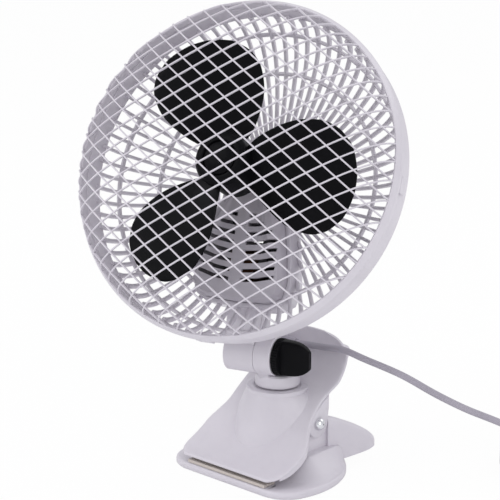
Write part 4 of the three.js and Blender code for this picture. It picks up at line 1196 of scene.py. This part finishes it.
# ------------------------------------------------------------------------------ clamp
@dataclass
class UpperJaw:
    """The curved plate with its pedestal, ears and the leaning lobe, as one moulded skin."""

    wall: float = 2.2
    ear: float = 30.0
    ear_radius: float = 8.0
    socket: float = 17.4
    bead: float = 13.1
    top: float = 47.0
    middle_y: float = 18.0
    plan: tuple[float, float, float] = (24.0, 26.0, 18.0)
    lip_ends: tuple[float, float] = (-19.0, 13.0)
    lip_wall: float = 1.8
    stations: tuple[tuple[float, ...], ...] = (
        (-25, 9, 31, 0, 0), (-21, 10.2, 35.5, 0, 0), (-16, 12.2, 37.5, 0, -0.2), (-8, 15.8, 38, 0, -0.4),
        (-3, 19, 38, 0, -0.8), (2, 23, 37.2, 0, -0.8), (7, 28, 34, 0, -0.8), (12, 33, 31, 0, -0.6),
        (18, 38.5, 30, 0, -0.3), (24, 42.8, 29.7, 0, 0), (30, 46.6, 30.2, 0, 0), (36, 50.8, 32, -1, 0.5),
        (41, 57.2, 33.2, -2.5, 1.6), (44.5, 63.5, 33, -4, 1.8), (46.8, 68.2, 29, -4.2, 1.4),
        (48.2, 71.6, 22, -3, 0.6), (49, 73.8, 10, -0.8, 0),
    )

    def height(self, y: Array) -> Array:
        """z of the plate's middle line."""
        table = np.asarray(self.stations, float)
        return smooth_table(y, table[:, 0], table[:, 1])

    def plate(self) -> Array:
        """The plate: rows across, each a parabola between its side edges, along smooth stations.

        Returns:
            Grid of closed loops whose wall thins to a round edge on all sides.
        """
        table = np.asarray(self.stations, float)
        t = np.linspace(0, len(table) - 1, 150)
        row = smooth_table(t, np.arange(len(table)), table)
        v = np.sin(np.linspace(-1, 1, 61) * np.pi / 2)
        y, z, w, dy, dz = (row[:, k : k + 1] for k in range(5))
        flare = np.abs(v[None]) ** 2
        grid = np.stack([w * v[None], y + dy * flare, z + dz * flare], -1)
        ends = np.minimum(t, t[-1] - t)[:, None]
        side = np.sqrt(np.maximum(1 - np.abs(v[None]) ** 40, 0.02))
        round_end = np.sqrt(np.clip(ends / 0.25, 0.05, 1))
        return shell(grid, self.wall * side * round_end)

    def edge_wall(self, side: int) -> Array:
        """The low wall under a side edge: a power of y deepens it from the lip's corner to the ear.

        Args:
            side: -1 or 1.

        Returns:
            Grid of closed loops round its wall.
        """
        y = np.linspace(*self.lip_ends, 60)
        table = np.asarray(self.stations, float)
        w = smooth_table(y, table[:, 0], table[:, 2]) - self.wall / 2
        z = self.height(y) - 0.6
        deep = 1.0 + 4.2 * np.clip((y - self.lip_ends[0]) / 24, 0, 1) ** 0.8
        down = z[:, None] - deep[:, None] * np.linspace(0, 1, 6)
        grid = np.stack([across(down, side * w), across(down, y), down], -1)
        return shell(grid, self.lip_wall)

    def pedestal(self) -> Array:
        """The foot of the turret: from an oval on the plate up to a round bead.

        The oval is a circle with its sine and cosine raised to a power; a point moves straight from
        it to the socket's circle while its height rises fast at first and then slower.

        Returns:
            Loops from the plate up over the bead.
        """
        c, s = ring(120).T
        side, front, behind = self.plan
        x, y = ring(120, 1.12).T
        foot = np.stack([side * x, self.middle_y + np.where(s < 0, front, behind) * y], 1)
        socket = np.stack([self.socket * c, TURRET_Y + self.socket * s], 1)
        t = np.linspace(0, 1, 26)[:, None, None]
        xy = foot[None] * (1 - t) + socket[None] * t
        base = np.minimum(self.height(foot[:, 1]), self.top - 4)[None] - 1.2
        u = t[..., 0]
        rise = (u * u * (3 - 2 * u)) * 0.35 + u**0.6 * 0.65
        z = base + (self.top - 2.4 - base) * rise
        body = np.concatenate([xy, z[..., None]], -1)
        corners = [(self.socket, -self.wall), (self.socket + 0.5, 0), (self.bead, 0), (self.bead, -1)]
        radius, rise = rounded_profile(corners, 1.4, 6)[6:18].T[:, :, None]
        rim = [radius * c, TURRET_Y + radius * s, np.broadcast_to(self.top + rise, (12, 120))]
        return np.concatenate([body, np.stack(rim, -1)])

    def ears(self, side: int) -> Array:
        """An ear: a flat wall round the pin that runs up into the plate, with round edges.

        Args:
            side: -1 or 1.

        Returns:
            Grid of loops across X.
        """
        y0, z0 = PIN
        a = np.radians(np.linspace(195, 360, 14))
        low = np.stack([y0 + self.ear_radius * np.cos(a), z0 + self.ear_radius * np.sin(a)], 1)
        y = np.linspace(y0 + 9, y0 - 14, 14)
        high = np.stack([y, self.height(y) - self.wall / 2], 1)
        outline = np.concatenate([low, [(y0 + 9, z0 + 8)], high])
        return slab(outline, side * self.ear, side * (self.ear - self.wall), 0.5)

    def build(self) -> bpy.types.Object:
        """Makes the jaw and dresses it.

        Returns:
            The jaw.
        """
        shape = Shape().grid(self.plate()).grid(self.pedestal())
        for side in (-1, 1):
            shape.grid(self.edge_wall(side)).grid(self.ears(side))
        made = shape.made("jaw_skin", np.eye(4), 50)
        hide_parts("upper_jaw")
        return SHOP.dress(made, WHITE, "jaw")


@dataclass
class LowerJaw:
    """Foot, ears, shoulders and handle of the fixed jaw, as one moulded skin."""

    foot_radius: float = 49.5
    foot_centre: float = 3.2
    foot: float = 4.2
    lip: tuple[tuple[float, float], ...] = ((31, -25), (36, -23.8), (42.5, -20))
    edge: tuple[tuple[float, float], ...] = (
        (1.6, 0), (0.5, 0.15), (0, 0.8), (0, 2.6), (0.25, 3.4), (0.8, 3.95), (1.8, 4.2), (9, 4.2),
    )
    shoulder_ends: tuple[float, float] = (-9.0, 39.0)
    ear: float = 27.3
    ear_wall: float = 2.6
    ear_radius: float = 4.6
    ledge: float = 32.2
    ridge: float = 14.0
    handle: tuple[tuple[float, float, float, float], ...] = (
        (29.6, 28.2, 30.6, 4.4), (36, 30.6, 28.2, 4.6), (42, 32.8, 25.4, 5.4), (48, 34.8, 22.4, 6.2),
        (54, 36.4, 18.8, 7.0), (59, 36.6, 15.4, 7.8), (62.6, 34.2, 12.8, 8.2), (64.6, 29, 11.4, 8.4),
        (65.6, 21, 10.8, 8.5), (66, 9, 10.6, 8.6),
    )

    def outline(self) -> Array:
        """The foot's outline: a straight lip, a soft corner and a circle round the back.

        Returns:
            Points (400, 2).
        """
        a = np.radians(np.linspace(-20, 90, 60))
        arc = np.stack([self.foot_radius * np.cos(a), self.foot_centre + self.foot_radius * np.sin(a)], 1)
        right = np.concatenate([np.asarray(self.lip, float), arc])
        left = right[:-1][::-1] * np.array([-1.0, 1.0])
        corners = np.concatenate([right, left])
        line = np.concatenate([corners, np.zeros((len(corners), 1))], 1)
        return smooth_path(line, 400)[:, :2]

    def foot_plate(self) -> Array:
        """The foot as a stack of outlines, drawn in along their normals where its edges are round.

        Returns:
            Grid of loops from the table upwards.
        """
        line = self.outline()
        tangent = unit(np.roll(line, -1, axis=0) - np.roll(line, 1, axis=0))
        inwards = np.stack([-tangent[:, 1], tangent[:, 0]], 1)
        inset, z = np.array(self.edge).T[:, :, None, None]
        level = line + inwards * inset
        return np.concatenate([level, np.broadcast_to(z, level.shape[:2] + (1,))], -1)

    def shoulder(self, side: int) -> Array:
        """The slope from the foot's rim up to the ledge under an ear, as closed sections along y.

        The ledge rises along y by a smooth step, and a section bends by a parabola.

        Args:
            side: -1 or 1.

        Returns:
            Grid of loops.
        """
        front, behind = self.shoulder_ends
        y = np.linspace(front, behind, 60)
        rim = np.sqrt(self.foot_radius**2 - (y - self.foot_centre) ** 2) - 1.2
        rise = np.clip((y - front) / 20, 0, 1)
        top = self.foot - 0.4 + (self.ridge - self.foot + 0.4) * rise * rise * (3 - 2 * rise)
        top = top - 6 * np.clip((y - behind + 6) / 8, 0, 1) ** 2
        t = np.linspace(0, 1, 14)
        x = rim[:, None] + (self.ledge - rim[:, None]) * t
        z = (self.foot - 0.3) + (top[:, None] - self.foot + 0.3) * (t * (0.55 + 0.45 * t))
        inner = np.array([self.ledge - 0.9, self.ear - 1, self.ear - 1])
        x = np.concatenate([x, np.broadcast_to(inner, (60, 3))], 1)
        back = np.stack([top + 0.1, top + 0.1, np.full(60, self.foot - 0.5)], 1)
        z = np.concatenate([z, back], 1)
        return np.stack([side * x, across(x, y), z], -1)

    def ears(self, side: int) -> Array:
        """A flat ear, rounded over the pin.

        Args:
            side: -1 or 1.

        Returns:
            Grid of loops across X.
        """
        y0, z0 = PIN
        a = np.radians(np.linspace(0, 180, 19))
        top = np.stack([y0 + self.ear_radius * np.cos(a), z0 + self.ear_radius * np.sin(a)], 1)
        low = [(y0 - 15, self.foot - 1), (y0 + 12, self.foot - 1), (y0 + 12, z0 - 3)]
        return slab(np.concatenate([low, top]), side * self.ear, side * (self.ear - self.ear_wall), 0.4)

    def arch(self) -> Array:
        """The handle: arched sections along y, dished on top and drawn in to a round tip.

        Returns:
            Grid of closed loops round its wall.
        """
        table = np.asarray(self.handle, float)
        t = np.linspace(0, len(table) - 1, 90)
        y, w, top, low = smooth_table(t, np.arange(len(table)), table).T[:, :, None]
        bend = np.minimum(4.0, (top - low) * 0.6)
        side = np.linspace(0, 1, 8)[None, :-1]
        a = np.linspace(0, np.pi / 2, 8)[None]
        v = np.linspace(1, 0, 14)[None, 1:]
        x = np.concatenate([w + 0 * side, w - bend * (1 - np.cos(a)), (w - bend) * v], 1)
        flat = top - 2.0 * np.minimum(w / 30, 1) * (1 - v**2)
        z = np.concatenate([low + (top - bend - low) * side, top - bend + bend * np.sin(a), flat], 1)
        x = np.concatenate([x, -x[:, -2::-1]], 1)
        z = np.concatenate([z, z[:, -2::-1]], 1)
        return shell(np.stack([x, np.broadcast_to(y, x.shape), z], -1), 2.2)

    def build(self) -> bpy.types.Object:
        """Makes the jaw and dresses it.

        Returns:
            The jaw.
        """
        shape = Shape().grid(self.foot_plate()).grid(self.arch())
        for side in (-1, 1):
            shape.grid(self.shoulder(side)).grid(self.ears(side))
        made = shape.made("lower_shell", np.eye(4), 42)
        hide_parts("lower_jaw")
        return SHOP.dress(made, WHITE, "foot")


@dataclass
class Clamp:
    """Lower jaw, pads, pin and spring."""

    pin_half: float = 30.3
    pin_radius: float = 2.2
    head_radius: float = 3.5
    head_height: float = 3.2
    spring_radius: float = 6.2
    spring_pitch: float = 2.6
    spring_turns: int = 5
    wire: float = 1.8

    def pin_piece(self) -> bpy.types.Object:
        """The pin: a rod with a polished dome at each end, a quarter ellipse turned about X.

        Returns:
            The pin.
        """
        h, r = self.pin_half, self.head_radius
        a = np.linspace(0, np.pi / 2, 12)
        dome = np.stack([r * np.sin(a) + 0.03, h + self.head_height * np.cos(a)], 1)
        half = np.concatenate([dome, [(r, h), (self.pin_radius, h), (self.pin_radius, 0)]])
        profile = np.concatenate([half, (half[:-1] * [1, -1])[::-1]])
        made = Shape().grid(lathed(profile, 48)).made("pin", shift(0, *PIN) @ turn("Z", -90))
        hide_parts("clamp_pin")
        return SHOP.dress(made, CHROME, "foot")

    def spring(self) -> bpy.types.Object:
        """The spring: a helix of wire round the pin, with a leg on each jaw.

        Returns:
            The spring.
        """
        radius, length = self.spring_radius, self.spring_pitch * self.spring_turns
        a = np.linspace(0, 2 * np.pi * self.spring_turns, 181)
        x = -length / 2 + length * a / a[-1]
        y0, z0 = PIN
        coil = np.stack([x, y0 - radius * np.sin(a), z0 - radius * np.cos(a)], 1)
        legs = [(-length / 2, y0 + 15, 5.4), (length / 2, y0 - 13, z0 - radius - 2)]
        path = np.concatenate([[legs[0]], coil, [legs[1]]])
        normal = np.concatenate([[(1, 0, 0)], np.broadcast_to((1.0, 0, 0), coil.shape), [(1, 0, 0)]])
        made = Shape().grid(swept(path, normal, ring(10) * self.wire / 2)).made("spring_wire", np.eye(4))
        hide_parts("torsion_spring")
        return SHOP.dress(made, STEEL, "foot")

    def build(self) -> None:
        """Makes and dresses the clamp's pieces."""
        SHOP.dress(refined("lower_strip", "lower_pad", width=0.25), STRIP, "foot")
        SHOP.dress(refined("upper_strip", "upper_pad", width=0.3), STRIP, "jaw")
        self.pin_piece()
        self.spring()
        LowerJaw().build()
        UpperJaw().build()
        cover = refined("switch_cover", "rear_cover", width=0.8, segments=3)
        SHOP.dress(cover, WHITE, "jaw")
        SHOP.dress(refined("switch_block", "switch_body", width=0.3), BLACK, "jaw")
        SHOP.dress(refined("speed_dial", "switch_knob", width=0.4), BLACK, "speed_knob")


# ------------------------------------------------------------------------------ neck, motor, turret
@dataclass
class LockKnob:
    """The black knob on the tilt bolt: a disc with a ribbed rim and a wing to hold."""

    start: float = 4.4
    boss_start: float = -6.2
    disc: float = 4.0
    radius: float = 10.6
    reach: float = 19.6
    wing: float = 7.0
    ribs: int = 44

    def rim(self) -> Array:
        """The disc as loops across x, its rim cut with fine ribs by a cosine of the angle.

        Returns:
            Grid of loops.
        """
        a = np.arange(self.ribs * 8) * 2 * np.pi / (self.ribs * 8)
        rib = 0.18 * (np.cos(a * self.ribs) - 1)
        x0, x1, r = self.start, self.start + self.disc, self.radius
        rows = [
            (x0, 3.0, 0), (x0, r - 1, 0), (x0 + 0.35, r - 0.2, 0), (x0 + 0.7, r, 1), (x1 - 0.7, r, 1),
            (x1 - 0.2, r - 0.25, 0), (x1, r - 0.9, 0), (x1 + 0.05, 2.0, 0),
        ]
        x, radius, cut = np.array(rows).T[:, :, None]
        reach = radius + rib * cut
        return np.stack([np.broadcast_to(x, reach.shape), reach * np.cos(a), reach * np.sin(a)], -1)

    def grip(self) -> Array:
        """The wing: rounded oblongs along x that narrow and shorten by powers of the way out.

        Returns:
            Grid of loops.
        """
        s = np.sin(np.linspace(0, 1, 26) * np.pi / 2)
        x = self.start + self.disc - 0.6 + (self.reach - self.disc + 0.6) * s
        share = s**5
        height = (self.radius - 0.5) - 1.6 * s**2 - 3.2 * share
        thick = (self.wing / 2 + 1.6 * (1 - s) ** 2) - 0.5 * share * self.wing / 2
        y, z = ring(72, 0.42).T[:, None] * np.stack([thick, height])[..., None]
        return np.stack([across(y, x), y, z], -1)

    def build(self, pose: Pose) -> bpy.types.Object:
        """Makes the knob and dresses it.

        Args:
            pose: how the head stands.

        Returns:
            The knob.
        """
        made = Shape().grid(self.rim()).grid(self.grip()).made("lock_grip", pose.bolt(), 35)
        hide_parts("tilt_knob")
        return SHOP.dress(made, BLACK, "lock_knob")

    def collar(self, pose: Pose) -> bpy.types.Object:
        """Makes the turret's boss that the knob is tightened against.

        Args:
            pose: how the head stands.

        Returns:
            The boss.
        """
        x0, x1, reach = self.boss_start, self.start - CLEARANCE, self.radius + 0.4
        section = rounded_profile([(3.2, x0), (reach, x0), (reach, x1), (3.2, x1)], 0.8, 6)
        matrix = pose.bolt() @ turn("Z", -90)
        made = Shape().grid(revolved(section, 96), Cap.RING).made("turret_boss", matrix)
        return SHOP.dress(made, WHITE, "swivel_turret")


@dataclass
class Neck:
    """Turret, bolt, lock knob, neck and motor: moulded and turned pieces with their edges rounded."""

    def build(self, pose: Pose) -> None:
        """Makes and dresses them.

        Args:
            pose: how the head stands.
        """
        SHOP.dress(refined("turret_shell", "turret", width=0.8, segments=3), WHITE, "swivel_turret")
        knob = LockKnob()
        knob.build(pose)
        knob.collar(pose)
        # The motor's front cover takes the darker copy of the white plastic: painted shade.
        SHOP.dress(refined("pod_front", "motor_cover", width=0.3), PAINTED_SHADE_WHITE, "head")
        SHOP.dress(refined("pod_back", "motor_case", width=0.6), WHITE, "head")
        SHOP.dress(refined("neck_front", "neck_cover", width=0.4), WHITE, "head")
        clips = [f"rim_clip_{k}" for k in (1, 2, 3, 4)]
        SHOP.dress(refined("rim_clips", *clips, width=0.4), WHITE, "head")
        SHOP.keep(STEEL, "swivel_washer", "swivel_screw", "tilt_bolt")
        SHOP.keep(STEEL, "front_bearing", "rear_bearing", "motor_shaft")
        axis = tuple(pose.head()[:3, 1].tolist())
        SHOP.keep(Laminated("core_sheets", axis), "stator_core", "rotor_core")
        SHOP.keep(Winding("coil_wire"), "stator_coil")


# ------------------------------------------------------------------------------ power cord
@dataclass
class PowerCord:
    """The lead: a free stretch from the sleeve to the table, a neat coil, a plug, and a tie."""

    diameter: float = 3.8
    outlet: tuple[float, float, float] = (-25.0, 38.6, 66.0)
    sleeve: float = 22.0
    centre: tuple[float, float] = (120.5, 116.5)
    inner: float = 15.4
    step: float = 4.9
    layer: float = 4.6
    layers: int = 4
    turns: float = 2.125
    extra: int = 4
    tail: tuple[tuple[float, float, float], ...] = (
        (4, 0.1, 1), (9, 0.7, 0.9), (14, 2.6, 0.6), (19, 4.7, 0.2), (22, 5.1, 0),
    )
    tie_at: float = 215.0
    tie_width: float = 2.2
    tie_wall: float = 0.45
    route: tuple[tuple[float, float, float], ...] = (
        (-2.7, 38.6, 66), (7, 38.4, 67), (19, 37.2, 68.4), (33, 35.6, 70.4), (50, 35, 68.6), (73, 39.5, 63.2),
        (90, 49, 53.5), (102, 58, 46.4), (114, 68, 40.2), (126, 80, 32.6), (136, 92, 24), (143.4, 102.6, 18),
    )

    def coil(self) -> Array:
        """Middle line of the coil: each layer a spiral that steps in or out, a half turn between two.

        The lowest layer runs on for a few 24ths of a turn, so that the plug lies close behind. Its
        end leaves straight on, by the tail: how far along, how far up, and how much of the widening
        of those 24ths is left.

        Returns:
            Points (n, 3) from the top layer's outside to the straight end before the plug.
        """
        steps = 48
        outer = self.inner + self.step * self.turns
        widest = outer + self.step * self.extra / 24
        count = round(self.turns * steps)
        bottom = self.diameter * 0.4
        radii, heights = [], []
        for layer in range(self.layers):
            steps_here = count + (0 if layer + 1 < self.layers else self.extra * 2)
            t = np.linspace(0, 1, steps_here + 1)[(0 if layer == 0 else 1):]
            here = bottom + self.layer * (self.layers - 1 - layer)
            far = outer if layer + 1 < self.layers else widest
            start, end = (outer, self.inner) if layer % 2 == 0 else (self.inner, far)
            radii.append(start + (end - start) * t)
            heights.append(np.full(len(t), here))
            if layer + 1 < self.layers:
                down = np.arange(1, steps // 2 + 1) / (steps // 2)
                radii.append(np.full(steps // 2, end))
                heights.append(here - self.layer * down)
        r, z = np.concatenate(radii), np.concatenate(heights)
        a = np.arange(len(r)) * 2 * np.pi / steps
        x, y = self.centre
        loops = np.stack([x + r * np.cos(a), y + r * np.sin(a), z], 1)
        heading = 2 * math.pi * self.extra / 24
        c, s = math.cos(heading), math.sin(heading)
        last = np.array(self.tail[-1]) + [self.diameter, 0, 0]
        along, up, out = np.array([*self.tail, last]).T
        r = outer + (widest - outer) * out
        end = np.stack([x + r * c - along * s, y + r * s + along * c, bottom + up], 1)
        return np.concatenate([loops, smooth_path(np.concatenate([loops[-1:], end]), 24)[1:]])

    def line(self) -> Array:
        """The whole middle line, from the sleeve's mouth to the plug.

        Returns:
            Points (n, 3).
        """
        coil = self.coil()
        x, y, z = coil[0]
        free = smooth_path([*self.route, (x, y - 6.3, z), (x, y - 0.3, z)], 150)
        return np.concatenate([free, coil])

    def build(self) -> None:
        """Makes and dresses the lead, its sleeve, its plug and its tie."""
        line = self.line()
        normal = np.broadcast_to(np.array([0.0, 0.0, 1.0]), line.shape)
        tube = swept(line, normal, ring(14) * self.diameter / 2)
        tube[..., 2] = np.maximum(tube[..., 2], 0.02)
        lead = Shape().grid(tube).made("power_lead", np.eye(4))
        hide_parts("cord_lead", "cord_run", "cord_coil")
        lead.data.materials.append(SHOP.finish(LEAD))
        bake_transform(lead)
        log.info("piece power_lead between jaw and foot: %d faces", len(lead.data.polygons))
        plug = refined("plug_shell", "plug_body", width=0.5, segments=3)
        SHOP.dress(plug, LEAD, "foot")
        pins = refined("plug_prongs", "plug_pin_left", "plug_pin_right", width=0.6, segments=3)
        SHOP.dress(pins, BRASS, "foot")
        self.sleeve_piece()
        self.tie()

    def sleeve_piece(self) -> bpy.types.Object:
        """The tapered sleeve at the outlet, with rings cut by a squared sine, as on a bend relief.

        Returns:
            The sleeve.
        """
        x0, y, z = self.outlet
        s = np.linspace(0, self.sleeve, 90)
        radius = np.interp(s, [0, 2, self.sleeve], [3.9, 3.9, 2.5])
        groove = 0.35 * (np.clip(np.sin((s - 3.2) * 2 * np.pi / 2.6), 0, 1) ** 2) * ((s > 3.2) & (s < 19.4))
        profile = np.stack([radius - groove, s], 1)
        profile = np.concatenate([[(3.0, -4.0), (3.0, -0.01)], profile, [(2.0, self.sleeve)]])
        matrix = shift(x0, y, z) @ turn("Z", -90)
        made = Shape().grid(lathed(profile, 40)).made("bend_sleeve", matrix)
        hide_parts("strain_relief")
        return SHOP.dress(made, LEAD, "jaw")

    def tie(self) -> bpy.types.Object:
        """A soft tie round the coil's turns: a flat strip carried round a box with round corners.

        Returns:
            The tie.
        """
        near, far, low, high = 13.0, 28.2, 0.5, 17.6
        r, z = rounded_profile([(near, low), (far, low), (far, high), (near, high)], 2.6, 8).T
        at = math.radians(self.tie_at)
        x, y = self.centre
        path = np.stack([x + r * math.cos(at), y + r * math.sin(at), z], 1)
        tangent = unit(np.roll(path, -1, axis=0) - np.roll(path, 1, axis=0))
        side = np.array([-math.sin(at), math.cos(at), 0.0])
        out = np.cross(tangent, side)
        strip = ring(10, 0.45) * np.array([self.tie_width, self.tie_wall])
        grid = path[:, None] + strip[None, :, :1] * side + strip[None, :, 1:] * out[:, None]
        made = Shape().grid(grid, Cap.RING).made("coil_tie", np.eye(4))
        return SHOP.dress(made, BLACK, "foot")


# ------------------------------------------------------------------------------ studio
@dataclass
class Studio:
    """Camera, lamps, world and floor."""

    target: tuple[float, float, float] = (-1.90, -1.77, 128.28)
    azimuth: float = 43.0
    pitch: float = 14.0
    distance: float = 900.0
    lens: float = 118.88

    def camera(self) -> None:
        """Places the camera at the photograph's viewing angle."""
        a, p = math.radians(self.azimuth), math.radians(self.pitch)
        away = Vector((math.sin(a) * math.cos(p), -math.cos(a) * math.cos(p), math.sin(p)))
        data = bpy.data.cameras.new("Camera")
        data.lens, data.sensor_width = self.lens, 36.0
        data.clip_start, data.clip_end = 0.05, 20.0
        made = put("Camera", data)
        made.location = Vector(self.target) * MM + away * (self.distance * MM)
        made.rotation_euler = (-away).to_track_quat("-Z", "Y").to_euler()
        bpy.context.scene.camera = made

    def lamp(self, name: str, place: Sequence[float], size: float, power: float) -> None:
        """A soft square lamp that faces the fan.

        Args:
            name: of the lamp.
            place: in metres.
            size: of its side, in metres.
            power: in watts.
        """
        data = bpy.data.lights.new(name, "AREA")
        data.shape, data.size, data.energy = "SQUARE", size, power
        made = put(name, data)
        made.location = place
        aim = Vector(self.target) * MM - Vector(place)
        made.rotation_euler = aim.to_track_quat("-Z", "Y").to_euler()

    @staticmethod
    def seen(tree: bpy.types.NodeTree) -> bpy.types.NodeSocket:
        """1 for what the camera sees, else 0."""
        return tree.nodes.new("ShaderNodeLightPath").outputs["Is Camera Ray"]

    def world(self, strength: float) -> None:
        """A white surround to look at, and a softer one to light with.

        Args:
            strength: of the one that lights.
        """
        world = bpy.data.worlds.new("Studio")
        bpy.context.scene.world = world
        world.use_nodes = True
        tree = world.node_tree
        tree.nodes.clear()
        lit, plain = (tree.nodes.new("ShaderNodeBackground") for _ in range(2))
        lit.inputs[0].default_value, lit.inputs[1].default_value = (0.97, 0.97, 1.0, 1), strength
        plain.inputs[0].default_value, plain.inputs[1].default_value = (1, 1, 1, 1), 1.0
        mixed, output = tree.nodes.new("ShaderNodeMixShader"), tree.nodes.new("ShaderNodeOutputWorld")
        tree.links.new(self.seen(tree), mixed.inputs[0])
        tree.links.new(lit.outputs[0], mixed.inputs[1])
        tree.links.new(plain.outputs[0], mixed.inputs[2])
        tree.links.new(mixed.outputs[0], output.inputs[0])

    def floor(self, glow: float) -> None:
        """A pale floor that glows a little for the camera and keeps the fan's soft shadow.

        Args:
            glow: how much of what the camera sees is the glow.
        """
        mesh = bpy.data.meshes.new("Floor")
        half = 6.0
        corners = [(-half, -half, 0), (half, -half, 0), (half, half, 0), (-half, half, 0)]
        mesh.from_pydata(corners, [], [(0, 1, 2, 3)])
        made = put("Floor", mesh)
        made.location.z = -0.0004
        material = bpy.data.materials.new("floor_white")
        material.use_nodes = True
        tree = material.node_tree
        tree.nodes.clear()
        matt, shine = tree.nodes.new("ShaderNodeBsdfPrincipled"), tree.nodes.new("ShaderNodeEmission")
        matt.inputs["Base Color"].default_value = (0.93, 0.93, 0.93, 1)
        matt.inputs["Roughness"].default_value = 0.9
        matt.inputs["Specular IOR Level"].default_value = 0.1
        scale = tree.nodes.new("ShaderNodeMath")
        scale.operation = "MULTIPLY"
        scale.inputs[1].default_value = glow
        tree.links.new(self.seen(tree), scale.inputs[0])
        mixed, output = tree.nodes.new("ShaderNodeMixShader"), tree.nodes.new("ShaderNodeOutputMaterial")
        tree.links.new(scale.outputs[0], mixed.inputs[0])
        tree.links.new(matt.outputs[0], mixed.inputs[1])
        tree.links.new(shine.outputs[0], mixed.inputs[2])
        tree.links.new(mixed.outputs[0], output.inputs[0])
        made.data.materials.append(material)

    def build(self) -> None:
        """Sets up the studio."""
        scene = bpy.context.scene
        scene.view_settings.view_transform = "Standard"
        self.camera()
        self.world(0.72)
        self.lamp("Key", (-0.75, -1.25, 1.35), 0.9, 9)
        self.lamp("Fill", (1.5, -0.5, 0.8), 1.2, 5)
        self.lamp("Back", (0.3, 1.4, 1.2), 1.0, 4)
        self.floor(0.96)


def main() -> None:
    """Builds the studio, the cord and then the fan's pieces."""
    pose = Pose()
    Studio().build()
    PowerCord().build()
    FrontGuard().build(pose)
    RearGrille().build(pose)
    Rotor().build(pose)
    Neck().build(pose)
    Clamp().build()
    bpy.context.view_layer.update()


if __name__ == "__main__":
    main()
